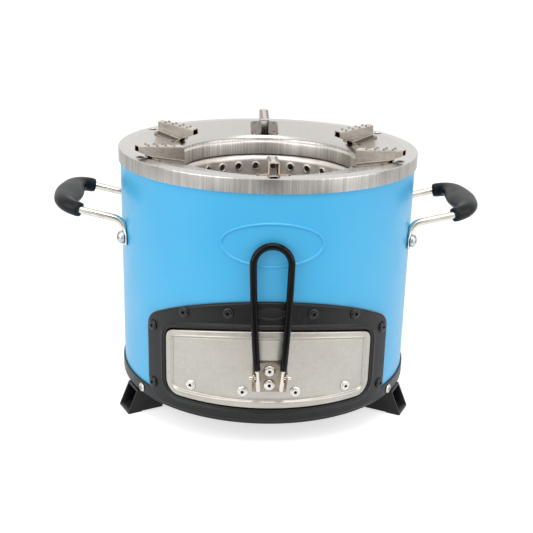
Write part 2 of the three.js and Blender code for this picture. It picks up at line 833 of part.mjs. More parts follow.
// Bracket: a flat plate with two ears round the pivot pin.
function handleBracket() {
  const low = baseZ + bracketLow;
  const high = baseZ + bracketHigh;
  const sheet = [[plateBack, low], [plateFront, low], [plateFront, high], [plateBack, high]];
  const plate = radialPlate(sheet, 2 * bracketHalf);
  const ear = new THREE.Path();
  ear.moveTo(plateBack, baseZ + earHigh);
  ear.lineTo(plateBack, baseZ + earLow);
  ear.lineTo(plateFront, baseZ + earLow);
  ear.lineTo(pivotReach, pivotZ - earRadius);
  ear.absarc(pivotReach, pivotZ, earRadius, -Math.PI / 2, Math.PI / 2, false);
  ear.lineTo(plateFront, baseZ + earHigh);
  const outline = ear.getPoints(smallArcPoints).map((p) => [p.x, p.y]);
  const earMiddle = bracketHalf - bracketWall / 2;
  const ears = [-earMiddle, earMiddle].map((middle) => radialPlate(outline, bracketWall, middle));
  const bore = crossBar(pinRadius + pinClear, bracketHalf + over);
  const rivetHoles = bracketRivetRises.map((rise) =>
    radialBar(rivetShank + seat, plateBack - over, plateFront + over, 0, baseZ + rise, rivetSides),
  );
  return cut(join(plate, ...ears), bore, ...rivetHoles);
}

// A round bar on the pivot's axis.
function crossBar(radius, half) {
  const geometry = new THREE.CylinderGeometry(radius, radius, 2 * half, pinSides).rotateZ(Math.PI / 2);
  return toSolid(geometry.translate(0, -pivotReach, pivotZ));
}

const handlePin = () => crossBar(pinRadius, pinHalf);

// Middle line of the bail's wire, from one heel up over the loop to the other, or of its sleeve alone.
function bailLine(heel) {
  const lean = degrees(restLean);
  const place = (p) =>
    new THREE.Vector3(p.x, -pivotReach + p.y * Math.sin(lean), pivotZ + p.y * Math.cos(lean));
  const straight = bailLength - bailHalf;
  const spread = ((bailWaist - bailPivotHalf) * sleeveStart) / bailWaistRise;
  const start = heel
    ? new THREE.Vector2(bailPivotHalf, 0)
    : new THREE.Vector2(bailPivotHalf + spread, sleeveStart);
  const path = new THREE.Path();
  path.moveTo(start.x, start.y);
  path.quadraticCurveTo(bailWaist, bailWaistRise, bailHalf, straight);
  path.absarc(0, straight, bailHalf, 0, Math.PI, false);
  path.quadraticCurveTo(-bailWaist, bailWaistRise, -start.x, start.y);
  const points = path.getPoints(bailSteps);
  if (heel) {
    points.unshift(new THREE.Vector2(bailHeelHalf, -bailHeel));
    points.push(new THREE.Vector2(-bailHeelHalf, -bailHeel));
  }
  return points.map(place);
}

// Wire bail with an eye on each leg for the pin.
function pullHandle() {
  const wire = tube(bailLine(true), wireRadius, wireSides);
  const eyes = [-1, 1].map((side) => {
    const eye = new THREE.CylinderGeometry(eyeRadius, eyeRadius, eyeWall, sleeveSides).rotateZ(Math.PI / 2);
    return toSolid(eye.translate(side * bailPivotHalf, -pivotReach, pivotZ));
  });
  return cut(join(wire, ...eyes), crossBar(pinRadius + pinClear, bracketHalf));
}

// Sleeve on the bail, clear of the eyes.
function handleSleeve() {
  const bore = tube(bailLine(true), wireRadius + seat, wireSides);
  return cut(tube(bailLine(false), sleeveRadius, sleeveSides), bore);
}

// Corners of a side handle's wire, from its front strap to the middle of the loop.
function loopCorners() {
  const angle = degrees(strapAngle);
  const x = strapRadius * Math.sin(angle);
  const y = -strapRadius * Math.cos(angle);
  const armZ = (at) => baseZ + armRise + (at - x) * armSlope;
  return [
    new THREE.Vector3(x, y, baseZ + strapLow),
    new THREE.Vector3(x, y, armZ(x)),
    new THREE.Vector3(loopReach, y, armZ(loopReach)),
    new THREE.Vector3(loopReach, 0, armZ(loopReach)),
  ];
}

// The same line with its two bends rounded, and a point where the strap ends.
function loopLine() {
  const [low, heel, corner, middle] = loopCorners();
  const towards = (from, to, length) => from.clone().add(to.clone().sub(from).setLength(length));
  const bend = new THREE.QuadraticBezierCurve3(
    towards(heel, low, strapBend),
    heel,
    towards(heel, corner, strapBend),
  );
  const turn = new THREE.QuadraticBezierCurve3(
    towards(corner, heel, loopCorner),
    corner,
    towards(corner, middle, loopCorner),
  );
  return [low, ...bend.getPoints(bendSteps), ...turn.getPoints(cornerSteps), middle];
}

// Directions across the line at each of its points: the first runs out from the body at the strap.
function crossAxes(line) {
  const angle = degrees(strapAngle);
  let out = new THREE.Vector3(Math.sin(angle), -Math.cos(angle), 0);
  return line.map((point, i) => {
    const before = line[Math.max(i - 1, 0)];
    const after = line[Math.min(i + 1, line.length - 1)];
    const along = i === line.length - 1 ? new THREE.Vector3(0, 1, 0) : after.clone().sub(before).normalize();
    out = out.clone().sub(along.clone().multiplyScalar(out.dot(along))).normalize();
    return { point, out, side: along.clone().cross(out) };
  });
}

const mirrored = (ring) => ring.map((p) => new THREE.Vector3(p.x, -p.y, p.z));

// Joins half a bar to its mirror image across the plane y = 0.
function wholeLoop(rings) {
  return loft([...rings, ...rings.slice(0, -1).reverse().map(mirrored)]);
}

// Moves a point of a handle out to the casing's face, if it lies deeper.
function offCasing(point) {
  const reach = Math.max(1, (bodyRadius + seat) / Math.hypot(point.x, point.y));
  return point.multiply(new THREE.Vector3(reach, reach, 1));
}

// A side handle's wire, pressed flat into a strap at each end, with a hole for its screw.
function sideHandle() {
  const line = loopLine();
  const strapEnd = line[0].clone().setZ(baseZ + strapFlat);
  const rings = crossAxes([line[0], strapEnd, ...line.slice(1)]).map(({ point, out, side }, i) => {
    const flat = i < 2;
    return Array.from({ length: armSides }, (_, k) => {
      const turn = (2 * Math.PI * (k + 1 / 2)) / armSides;
      const across = Math.cos(turn) * (flat ? strapWidth / 2 : armRadius);
      const high = Math.sin(turn) * armRadius;
      const depth = flat ? THREE.MathUtils.clamp(high, -strapWall / 2, strapWall / 2) : high;
      return offCasing(point.clone().addScaledVector(side, across).addScaledVector(out, depth));
    });
  });
  const z = baseZ + handleScrewRise;
  const outer = strapRadius + armRadius + over;
  const holes = [strapAngle, 180 - strapAngle].map((angle) =>
    radialBar(handleScrewShank + seat, bodyRadius - over, outer, angle, z, screwSides),
  );
  return cut(wholeLoop(rings), ...holes);
}

// Thick grip on a side handle: widest at the middle of the loop.
function sideGrip() {
  const line = loopLine().filter((p) => p.x > gripStart);
  const [, , corner, middle] = loopCorners();
  const start = corner.clone().setX(gripStart);
  start.z -= (loopReach - gripStart) * armSlope;
  const points = [start, ...line];
  const slope = new THREE.Vector3(1, 0, armSlope).normalize();
  const up = new THREE.Vector3(0, 1, 0).cross(slope).negate();
  const lengths = points.map((p, i) => (i === 0 ? 0 : p.distanceTo(points[i - 1])));
  const total = lengths.reduce((sum, length) => sum + length, 0);
  let run = 0;
  const section = (point, along, across, half, height) =>
    Array.from({ length: gripSides }, (_, k) => {
      const turn = (2 * Math.PI * k) / gripSides;
      return point
        .clone()
        .addScaledVector(across, half * Math.cos(turn))
        .addScaledVector(up, height * Math.sin(turn));
    });
  const rings = points.flatMap((point, i) => {
    run += lengths[i];
    const before = points[Math.max(i - 1, 0)];
    const after = points[Math.min(i + 1, points.length - 1)];
    const along = point === middle || i === points.length - 1
      ? new THREE.Vector3(0, 1, 0)
      : after.clone().sub(before).normalize();
    const across = along.clone().cross(up).normalize();
    const swell = THREE.MathUtils.smoothstep(run, 0, total);
    const half = THREE.MathUtils.lerp(gripEndHalf, gripMidHalf, swell);
    const ring = section(point, along, across, half, gripHeight / 2);
    if (i > 0) return [ring];
    const shoulder = start.clone().addScaledVector(slope, gripEdge);
    return [
      section(point, along, across, half - gripEdge, gripHeight / 2 - gripEdge),
      section(shoulder, along, across, half, gripHeight / 2),
    ];
  });
  const bore = crossAxes(loopLine()).map(({ point, out, side }) =>
    Array.from({ length: armSides }, (_, k) => {
      const turn = (2 * Math.PI * (k + 1 / 2)) / armSides;
      const radius = armRadius + seat;
      return point
        .clone()
        .addScaledVector(side, radius * Math.cos(turn))
        .addScaledVector(out, radius * Math.sin(turn));
    }),
  );
  return cut(wholeLoop(rings), wholeLoop(bore));
}

// Height of the supports' common cone of tops.
const supportTop = (r) => topZ + supportLift + (r - supportInnerTip) * Math.tan(degrees(supportTilt));

// Pot support: a folded channel on two welded flanges. One end overhangs its foot and runs to a tip.
function potSupport(foot, tip) {
  const [near, far] = foot;
  const inwards = tip < near;
  const toe = inwards ? near : far;
  const flush = inwards ? far : near;
  const onCone = (r) => coneZ(r) + seat;
  const inFlange = (r) => onCone(r) + supportWall / 2;
  const wall = radialPlate(
    [
      [tip, supportTop(tip)],
      [tip, supportTop(tip) - supportTipHeight],
      [toe, inFlange(toe)],
      [flush, inFlange(flush)],
      [flush, supportTop(flush)],
    ],
    supportWidth,
  );
  const low = Math.min(tip, near) - over;
  const high = Math.max(tip, far) + over;
  const channel = radialPlate(
    [
      [low, supportTop(low) - supportWall],
      [low, onCone(near) - over],
      [high, onCone(near) - over],
      [high, supportTop(high) - supportWall],
    ],
    supportWidth - 2 * supportWall,
  );
  const length = far - near;
  const slope = Math.atan2(onCone(far) - onCone(near), length);
  const sheet = roundedRectangle(supportFootWidth, length / Math.cos(slope), supportFootCorner);
  const flange = new THREE.ExtrudeGeometry(sheet, {
    depth: supportWall,
    bevelEnabled: false,
    curveSegments: smallArcPoints / 2,
  });
  flange.rotateX(-slope).translate(0, -(near + far) / 2, (onCone(near) + onCone(far)) / 2);
  const start = Math.min(toe, flush, tip) + (Math.abs(flush - tip) - (nubCount - 1) * nubPitch) / 2;
  const nubs = Array.from({ length: nubCount }, (_, i) => {
    const reach = start + i * nubPitch;
    const height = nubHeight + supportWall / 2;
    const nub = new THREE.ConeGeometry(nubRadius, height, nubSides).rotateX(Math.PI / 2);
    return toSolid(nub.translate(0, -reach, supportTop(reach) + nubHeight - height / 2));
  });
  return join(cut(join(wall, toSolid(flange)), channel), ...nubs);
}

// A plan rectangle about the origin with rounded corners.
function roundedRectangle(width, length, corner) {
  const [x, y] = [width / 2, length / 2];
  const shape = new THREE.Shape();
  shape.moveTo(corner - x, -y);
  shape.lineTo(x - corner, -y);
  shape.absarc(x - corner, corner - y, corner, -Math.PI / 2, 0, false);
  shape.lineTo(x, y - corner);
  shape.absarc(x - corner, y - corner, corner, 0, Math.PI / 2, false);
  shape.lineTo(corner - x, y);
  shape.absarc(corner - x, y - corner, corner, Math.PI / 2, Math.PI, false);
  shape.lineTo(-x, corner - y);
  shape.absarc(corner - x, corner - y, corner, Math.PI, (3 * Math.PI) / 2, false);
  return shape;
}

// Foot: a box under the pan, open to the outside, with a pad at its toe.
function foot() {
  const top = baseZ - seat;
  const pad = footReach - footPad;
  const box = radialPlate(
    [
      [footInner, top],
      [footHeel, footPadStep],
      [pad - footPadStep, footPadStep],
      [pad, 0],
      [footReach, 0],
      [footReach, footToe],
      [footTopReach, top],
    ],
    footWidth,
  );
  const hollow = radialPlate(
    [
      [footInner + footWall, top - footWall],
      [footHeel + footWall, footPadStep + footWall],
      [footReach + over, footPadStep + footWall],
      [footReach + over, top - footWall],
    ],
    footWidth - 2 * footWall,
  );
  return cut(box, hollow);
}

// Finishes
function finish(color, roughness, metalness) {
  return new THREE.MeshStandardMaterial({ color, roughness, metalness });
}

const finishes = {
  blue: () => finish(0x5ab8ee, 0.38, 0.1),
  brushed: () => finish(0xb9b6b0, 0.35, 1),
  stainless: () => finish(0xc8c4bc, 0.3, 1),
  black: () => finish(0x2d2f31, 0.5, 0.1),
  grip: () => finish(0x3a3b3b, 0.45, 0),
  sleeve: () => finish(0x161717, 0.4, 0),
  plated: () => finish(0xd6d4ce, 0.2, 1),
  dark: () => finish(0x4a4a48, 0.45, 0.9),
  iron: () => finish(0x2b2a29, 0.75, 0.6),
  wool: () => finish(0xd9d2c4, 0.95, 0),
  galvanised: () => finish(0x9b9d9f, 0.5, 0.8),
};

// The stove is set so that the middle of its outline lies over the origin.
const stove = new THREE.Group();
stove.position.set(0, (frontReach - footReach) / 2, 0);

function piece(name, solid, look, parent = stove) {
  const mesh = new THREE.Mesh(toGeometry(solid), finishes[look]());
  mesh.name = name;
  parent.add(mesh);
  return mesh;
}

// A group turned about the body's axis to an angle from the front.
function turned(angle) {
  const group = new THREE.Group();
  group.rotation.z = degrees(angle);
  stove.add(group);
  return group;
}

piece('outer_shell', outerShell(), 'blue');
piece('base_pan', basePan(), 'black');
piece('top_ring', topRing(), 'brushed');
piece('flame_collar', flameCollar(), 'brushed');
piece('combustion_chamber', combustionChamber(), 'stainless');
piece('charcoal_grate', charcoalGrate(), 'iron');
piece('insulation', insulation(), 'wool');
piece('deck_plate', deckPlate(), 'galvanised');
piece('guide_right', guide(), 'galvanised');
piece('guide_left', guide(), 'galvanised').rotation.z = Math.PI;
piece('ash_tray', ashTray(), 'galvanised');
piece('drawer_front', drawerFront(), 'stainless');
piece('door_frame', doorFrame(), 'black');
piece('handle_bracket', handleBracket(), 'stainless');
piece('handle_pin', handlePin(), 'plated');
piece('pull_handle', pullHandle(), 'plated');
piece('handle_sleeve', handleSleeve(), 'sleeve');
piece('side_handle_right', sideHandle(), 'plated');
piece('side_handle_left', sideHandle(), 'plated').rotation.z = Math.PI;
piece('side_grip_right', sideGrip(), 'grip');
piece('side_grip_left', sideGrip(), 'grip').rotation.z = Math.PI;

const supportNames = ['front', 'front_right', 'rear_right', 'rear', 'rear_left', 'front_left'];
ringAngles().forEach((angle, i) => {
  const inwards = i % 2 === 0;
  const solid = inwards
    ? potSupport(supportInnerFoot, supportInnerTip)
    : potSupport(supportOuterFoot, supportOuterTip);
  const place = turned(angle);
  piece(`support_${supportNames[i]}`, solid, 'brushed', place);
  const ringScrew = screw(ringScrewHead, ringScrewCrown, ringScrewShank, ringScrewLength - dimpleDepth);
  const mesh = piece(`ring_screw_${supportNames[i]}`, ringScrew, 'dark', place);
  mesh.rotation.x = -Math.PI / 2;
  mesh.position.set(0, -dimpleReach, topZ - dimpleDepth + ringScrewClear);
});

[['front_left', -footAngle], ['front_right', footAngle], ['rear', 180]].forEach(([name, angle], i) => {
  piece(`foot_${name}`, foot(), 'black', turned(angle));
  const length = bandRadius - bodyRadius;
  const bolt = screw(bandScrewHead, bandScrewCrown, bandScrewShank, length);
  const mesh = piece(`foot_screw_${name}`, bolt, 'plated', turned(bandScrewAngles()[i]));
  mesh.position.set(0, -bandRadius - seat, baseZ + bandScrewRise);
});

['right_front', 'right_rear', 'left_front', 'left_rear'].forEach((name, i) => {
  const head = strapRadius + strapWall / 2 + seat;
  const bolt = screw(handleScrewHead, handleScrewCrown, handleScrewShank, head - casingInner);
  const mesh = piece(`handle_screw_${name}`, bolt, 'plated', turned(strapAngles()[i]));
  mesh.position.set(0, -head, baseZ + handleScrewRise);
});

frameRivetPlaces().forEach(({ angle, rise }, i) => {
  const mesh = piece(`frame_rivet_${i + 1}`, rivet(frameOuter + seat - casingInner), 'black', turned(angle));
  mesh.position.set(0, -frameOuter - seat, baseZ + rise);
});

trayRivetPlaces().forEach(({ angle, rise }, i) => {
  const length = sunkRadius + seat - trayRadius + trayWall;
  const mesh = piece(`tray_rivet_${i + 1}`, rivet(length), 'plated', turned(angle));
  mesh.position.set(0, -sunkRadius - seat, baseZ + rise);
});

bracketRivetRises.forEach((rise, i) => {
  const mesh = piece(`bracket_rivet_${i + 1}`, rivet(plateFront + seat - trayRadius + trayWall), 'plated');
  mesh.position.set(0, -plateFront - seat, baseZ + rise);
});

export default stove;
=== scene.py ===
"""Charcoal stove: the dressed model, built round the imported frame.

Sizes are in millimetres and are turned into metres where a piece is made. The body's axis stands at
AXIS_Y on the y axis, and the front with the ash drawer looks along -y.
"""

import logging
import math
from collections.abc import Callable, Iterable, Sequence
from dataclasses import dataclass, field
from enum import Enum

import bmesh
import bpy
from mathutils import Matrix, Vector
from mathutils.kdtree import KDTree

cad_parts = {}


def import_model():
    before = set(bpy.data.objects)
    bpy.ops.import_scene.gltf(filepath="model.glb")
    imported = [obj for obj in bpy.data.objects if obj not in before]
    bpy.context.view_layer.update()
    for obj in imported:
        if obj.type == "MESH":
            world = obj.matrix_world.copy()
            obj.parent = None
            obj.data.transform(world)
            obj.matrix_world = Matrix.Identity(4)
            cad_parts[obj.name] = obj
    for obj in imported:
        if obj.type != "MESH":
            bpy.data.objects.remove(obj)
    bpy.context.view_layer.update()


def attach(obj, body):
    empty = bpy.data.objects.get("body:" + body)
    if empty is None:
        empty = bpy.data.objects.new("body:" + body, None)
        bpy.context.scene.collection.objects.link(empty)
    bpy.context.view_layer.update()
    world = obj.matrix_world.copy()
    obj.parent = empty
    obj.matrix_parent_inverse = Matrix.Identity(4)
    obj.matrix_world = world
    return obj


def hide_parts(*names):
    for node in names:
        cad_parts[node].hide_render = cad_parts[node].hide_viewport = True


LOG = logging.getLogger("stove")
MM = 0.001
AXIS_Y = 3.25
FULL_TURN = 2 * math.pi
QUARTER_TURN = math.pi / 2
SAME_PLACE = 1e-6
CELL_SEAM = 5e-5
RIM_REACH = 1e-5
FLAT_FOLD = 0.4
FOLD = 4
FINE_FOLD = 2

UP = (0, 0, 1)
TO_FRONT = (0, -1, 0)
SPOKES = {"front": 0, "front_right": 60, "rear_right": 120, "rear": 180, "rear_left": -120, "front_left": -60}

Point = tuple[float, float, float]
Flat = tuple[float, float]
Piece = bpy.types.Object
Row = tuple[str, str, Matrix]


def spread(low: float, high: float, steps: int) -> list[float]:
    """Divides a range into even steps, and gives the values with both ends among them."""
    return [low + (high - low) * i / steps for i in range(steps + 1)]


def arc(middle: Flat, radius: float, start: float, end: float, steps: int) -> list[Flat]:
    """Points along an arc round a middle, from one angle in degrees to another, in a number of chords."""
    turns = [math.radians(angle) for angle in spread(start, end, steps)]
    return [(middle[0] + radius * math.cos(t), middle[1] + radius * math.sin(t)) for t in turns]


def bow(start: Flat, pull: Flat, end: Flat, steps: int) -> list[Flat]:
    """Points along a curve that is pulled towards one point.

    Args:
        start: First point.
        pull: Point that the curve is pulled to.
        end: Last point.
        steps: Number of chords.

    Returns:
        The points, both ends among them.
    """
    points = []
    for t in spread(0, 1, steps):
        near, mid, far = (1 - t) ** 2, 2 * t * (1 - t), t**2
        points.append(tuple(near * a + mid * b + far * c for a, b, c in zip(start, pull, end)))
    return points


def eased(points: Sequence[Flat], radii: dict[int, float], steps: int = 4) -> list[Flat]:
    """Rounds chosen corners of an outline.

    Args:
        points: Corners of the outline in order.
        radii: Rounding of a corner, by the corner's place in the list.
        steps: Number of chords in each rounding.

    Returns:
        The outline with its roundings.
    """
    result: list[Flat] = []
    for i, corner in enumerate(points):
        if i not in radii:
            result.append(corner)
            continue
        here = Vector(corner)
        before = Vector(points[i - 1]) - here
        after = Vector(points[(i + 1) % len(points)]) - here
        reach = radii[i] / math.tan(before.angle(after) / 2)
        start = here + before.normalized() * reach
        end = here + after.normalized() * reach
        result += bow(tuple(start), corner, tuple(end), steps)
    return result


class Bench:
    """Modelling by hand. Each method works on the one piece that it makes or is given."""

    @staticmethod
    def free() -> None:
        """Leaves edit mode and lets go of everything."""
        if bpy.context.object and bpy.context.object.mode != "OBJECT":
            bpy.ops.object.mode_set(mode="OBJECT")
        bpy.ops.object.select_all(action="DESELECT")

    @staticmethod
    def hold(piece: Piece) -> None:
        """Selects one piece alone.

        Args:
            piece: The piece.
        """
        Bench.free()
        piece.select_set(True)
        bpy.context.view_layer.objects.active = piece

    @staticmethod
    def shape(piece: Piece) -> None:
        """Takes one piece into edit mode with all of it selected.

        Args:
            piece: The piece.
        """
        Bench.hold(piece)
        bpy.ops.object.mode_set(mode="EDIT")
        bpy.ops.mesh.select_mode(type="VERT")
        Bench.all()

    @staticmethod
    def all() -> None:
        """Selects all of the piece in edit mode."""
        bpy.ops.mesh.select_all(action="SELECT")

    @staticmethod
    def pick(piece: Piece, wanted: Callable[[bmesh.types.BMVert | bmesh.types.BMFace], bool],
             faces: bool = False) -> None:
        """Selects the corners or faces that a test wants.

        Args:
            piece: Piece in edit mode.
            wanted: Test on one corner, or on one face.
            faces: Whether faces are tested.
        """
        bpy.ops.mesh.select_all(action="DESELECT")
        bpy.ops.mesh.select_mode(type="FACE" if faces else "VERT")
        mesh = bmesh.from_edit_mesh(piece.data)
        for part in mesh.faces if faces else mesh.verts:
            part.select = wanted(part)
        mesh.select_flush(True)
        bmesh.update_edit_mesh(piece.data)

    @staticmethod
    def shift(piece: Piece, place: Callable[[Vector], Vector]) -> None:
        """Moves the selected corners of a piece in edit mode.

        Args:
            piece: The piece.
            place: Where a corner goes, from where it is.
        """
        mesh = bmesh.from_edit_mesh(piece.data)
        for corner in mesh.verts:
            if corner.select:
                corner.co = place(corner.co)
        bmesh.update_edit_mesh(piece.data)

    @staticmethod
    def chain(name: str, points: Sequence[Point], closed: bool = False) -> Piece:
        """Draws a line from corner to corner by extrusion.

        Args:
            name: Name of the piece.
            points: Corners of the line.
            closed: Whether its end is joined to its start.

        Returns:
            The piece, in edit mode.
        """
        Bench.free()
        bpy.ops.mesh.primitive_plane_add(size=MM)
        piece = bpy.context.active_object
        piece.name = piece.data.name = name
        Bench.shape(piece)
        bpy.ops.mesh.merge(type="CENTER")
        corners = [Vector(p) * MM for p in points]
        bpy.ops.transform.translate(value=corners[0])
        for start, end in zip(corners, corners[1:]):
            bpy.ops.mesh.extrude_region_move(TRANSFORM_OT_translate={"value": end - start})
        if closed:
            Bench.pick(piece, lambda v: len(v.link_edges) < 2)
            bpy.ops.mesh.edge_face_add()
        return piece

    @staticmethod
    def pick_line(piece: Piece, line: Sequence[Point]) -> None:
        """Selects the corners of a piece in edit mode that lie on a line's corners."""
        tree = Bench._tree(line)
        Bench.pick(piece, lambda v: tree.find(v.co)[2] < 10 * SAME_PLACE)

    @staticmethod
    def _tree(line: Sequence[Point]) -> KDTree:
        """Sets up a search for the nearest corner of a line.

        Args:
            line: The line's corners.

        Returns:
            The search tree, which numbers the corners in their order.
        """
        tree = KDTree(len(line))
        for i, point in enumerate(line):
            tree.insert(Vector(point) * MM, i)
        tree.balance()
        return tree

    @staticmethod
    def drawn(name: str, lines: Sequence[Sequence[Point]], closed: bool, ring: bool = False) -> Piece:
        """Draws a line and extrudes it through others.

        Args:
            name: Name of the piece.
            lines: The lines, with the same number of corners each.
            closed: Whether each line is closed.
            ring: Whether the last line is joined back to the first.

        Returns:
            The piece, in edit mode, with its last line selected.
        """
        piece = Bench.chain(name, lines[0], closed)
        Bench.all()
        after = [*lines[1:], *([lines[0]] if ring else [])]
        for old, new in zip(lines, after):
            bpy.ops.mesh.extrude_region_move()
            tree = Bench._tree(old)
            Bench.shift(piece, lambda place: Vector(new[tree.find(place)[1]]) * MM)
        if ring:
            Bench.all()
            bpy.ops.mesh.remove_doubles(threshold=SAME_PLACE)
        return piece

    @staticmethod
    def tube(name: str, lines: Sequence[Sequence[Point]]) -> Piece:
        """Draws a closed line, extrudes it through others and fills both ends.

        Args:
            name: Name of the piece.
            lines: The lines, with the same number of corners each.

        Returns:
            The closed piece.
        """
        piece = Bench.drawn(name, lines, closed=True)
        for line in (lines[0], lines[-1]):
            Bench.pick_line(piece, line)
            bpy.ops.mesh.edge_face_add()
        Bench.outwards()
        Bench.free()
        return piece

    @staticmethod
    def outwards() -> None:
        """Turns all faces of the closed piece in edit mode to the outside."""
        Bench.all()
        bpy.ops.mesh.normals_make_consistent(inside=False)

    @staticmethod
    def towards(piece: Piece, direction: Point) -> None:
        """Turns the faces of an open sheet in edit mode to one side.

        Args:
            piece: The sheet.
            direction: Way that most of it has to face.
        """
        Bench.outwards()
        mesh = bmesh.from_edit_mesh(piece.data)
        mesh.normal_update()
        facing = sum(face.normal.dot(Vector(direction)) * face.calc_area() for face in mesh.faces)
        if facing < 0:
            bpy.ops.mesh.flip_normals()

    @staticmethod
    def turned(name: str, section: Sequence[Flat], steps: int) -> Piece:
        """Turns a half section about the z axis.

        Args:
            name: Name of the piece.
            section: Pairs of radius and height. It starts and ends on the axis, or closes on itself.
            steps: Facets round the axis.

        Returns:
            The closed piece.
        """
        off_axis = max(section[0][0], section[-1][0]) >= SAME_PLACE
        piece = Bench.chain(name, [(r, 0, z) for r, z in section], closed=off_axis)
        Bench.all()
        bpy.ops.mesh.spin(steps=steps, angle=FULL_TURN, center=(0, 0, 0), axis=UP)
        Bench.all()
        bpy.ops.mesh.remove_doubles(threshold=SAME_PLACE)
        Bench.outwards()
        Bench.free()
        return piece

    @staticmethod
    def apply(piece: Piece, kind: str, **settings: object) -> None:
        """Adds a modifier to a piece and applies it.

        Args:
            piece: The piece.
            kind: Blender's name of the modifier type.
            settings: Its settings.
        """
        Bench.hold(piece)
        modifier = piece.modifiers.new(kind.title(), kind)
        for key, value in settings.items():
            setattr(modifier, key, value)
        bpy.ops.object.modifier_apply(modifier=modifier.name)

    @staticmethod
    def thicken(piece: Piece, wall: float) -> None:
        """Gives an open sheet its wall, behind the side that it faces."""
        Bench.apply(piece, "SOLIDIFY", thickness=wall * MM, offset=-1, use_even_offset=True)

    @staticmethod
    def walled(piece: Piece, wall: float, facing: Point) -> None:
        """Turns an open sheet in edit mode to one side, and gives it its wall behind that side.

        Args:
            piece: The sheet.
            wall: Thickness of the wall.
            facing: Way that most of it has to face.
        """
        Bench.towards(piece, facing)
        Bench.free()
        Bench.thicken(piece, wall)

    @staticmethod
    def soften(piece: Piece, width: float, segments: int = 2, angle: float = 35) -> None:
        """Rounds edges sharper than an angle in degrees, over a width and in a number of facets."""
        Bench.apply(piece, "BEVEL", width=width * MM, segments=segments, limit_method="ANGLE",
                    angle_limit=math.radians(angle), use_clamp_overlap=True)

    @staticmethod
    def cut(piece: Piece, tool: Piece, way: str = "DIFFERENCE") -> None:
        """Cuts out a tool, adds it (UNION) or keeps what lies in it (INTERSECT), and throws it away."""
        Bench.apply(piece, "BOOLEAN", operation=way, solver="EXACT", object=tool)
        bpy.data.objects.remove(tool)

    @staticmethod
    def clean(piece: Piece) -> None:
        """Merges doubled corners and drops loose edges.

        Args:
            piece: The piece.
        """
        Bench.shape(piece)
        bpy.ops.mesh.remove_doubles(threshold=2 * SAME_PLACE)
        bpy.ops.mesh.delete_loose()
        Bench.free()

    @staticmethod
    def join(piece: Piece, *others: Piece) -> Piece:
        """Joins pieces into the first one.

        Args:
            piece: The first one.
            others: The others.

        Returns:
            The first one.
        """
        Bench.hold(piece)
        for other in others:
            other.select_set(True)
        bpy.ops.object.join()
        return piece

    @staticmethod
    def slab(name: str, outline: Sequence[Point], depth: Point) -> Piece:
        """Fills a closed outline and extrudes it.

        Args:
            name: Name of the piece.
            outline: Corners of the outline.
            depth: Way and length of the extrusion.

        Returns:
            The closed piece.
        """
        piece = Bench.chain(name, outline, closed=True)
        Bench.all()
        bpy.ops.mesh.edge_face_add()
        bpy.ops.mesh.extrude_region_move(TRANSFORM_OT_translate={"value": Vector(depth) * MM})
        Bench.outwards()
        Bench.free()
        return piece

    @staticmethod
    def roll(piece: Piece, radius: float, pitch: float = FOLD) -> None:
        """Folds a flat piece at even distances and rolls it round the body's axis.

        Args:
            piece: The piece, drawn flat with x along the arc.
            radius: Radius at y = 0.
            pitch: Distance between the folds.
        """
        low, high = Bench.span(piece)
        Bench.shape(piece)
        folds = max(2, round((high - low) / (pitch * MM)))
        for place in spread(low, high, folds)[1:-1]:
            Bench.slice((place, 0, 0), (1, 0, 0))
        Bench.bend(piece, radius)

    @staticmethod
    def span(piece: Piece) -> tuple[float, float]:
        """Lowest and highest x of a piece's corners."""
        xs = [v.co.x for v in piece.data.vertices]
        return min(xs), max(xs)

    @staticmethod
    def slice(place: Point, normal: Point, **sides: bool) -> None:
        """Cuts all of the piece in edit mode along a plane, and drops a side where that is asked for."""
        Bench.all()
        bpy.ops.mesh.bisect(plane_co=place, plane_no=normal, **sides)

    @staticmethod
    def bend(piece: Piece, radius: float) -> None:
        """Bends a flat piece round the body's axis.

        Args:
            piece: The piece, with x along the arc.
            radius: Radius that its zero in y comes to.
        """
        Bench.free()
        low, high = Bench.span(piece)
        Bench.apply(piece, "SIMPLE_DEFORM", deform_method="BEND", deform_axis="Z",
                    angle=(high - low) / (radius * MM))
        Bench.move(piece, Matrix.Translation((0, -radius * MM, 0)))

    @staticmethod
    def move(piece: Piece, matrix: Matrix) -> None:
        """Moves the mesh of a piece and leaves its object at the origin.

        Args:
            piece: The piece.
            matrix: How it moves.
        """
        Bench.free()
        piece.data.transform(matrix)
        piece.data.update()

    @staticmethod
    def copy(piece: Piece, name: str, matrix: Matrix) -> Piece:
        """Copies a piece, with a mesh of its own, to another place.

        Args:
            piece: The piece that was modelled once.
            name: Name of the copy.
            matrix: Where the copy goes.

        Returns:
            The copy.
        """
        Bench.hold(piece)
        bpy.ops.object.duplicate(linked=False)
        twin = bpy.context.active_object
        twin.name = twin.data.name = name
        twin.data.transform(matrix)
        if matrix.determinant() < 0:
            twin.data.flip_normals()
        return twin

    @staticmethod
    def carried(name: str, node: str, edge: float) -> Piece:
        """Copies a node of the frame, merges its corners and rounds its edges.

        Args:
            name: Name of the piece.
            node: The node.
            edge: Width of the rounding.

        Returns:
            The piece.
        """
        source = bpy.data.objects[node]
        piece = bpy.data.objects.new(name, source.data.copy())
        bpy.context.scene.collection.objects.link(piece)
        piece.data.name = name
        piece.data.materials.clear()
        Bench.shape(piece)
        bpy.ops.mesh.customdata_custom_splitnormals_clear()
        bpy.ops.mesh.remove_doubles(threshold=2 * SAME_PLACE)
        bpy.ops.mesh.dissolve_limited(angle_limit=math.radians(FLAT_FOLD))
        Bench.free()
        Bench.soften(piece, edge)
        return piece

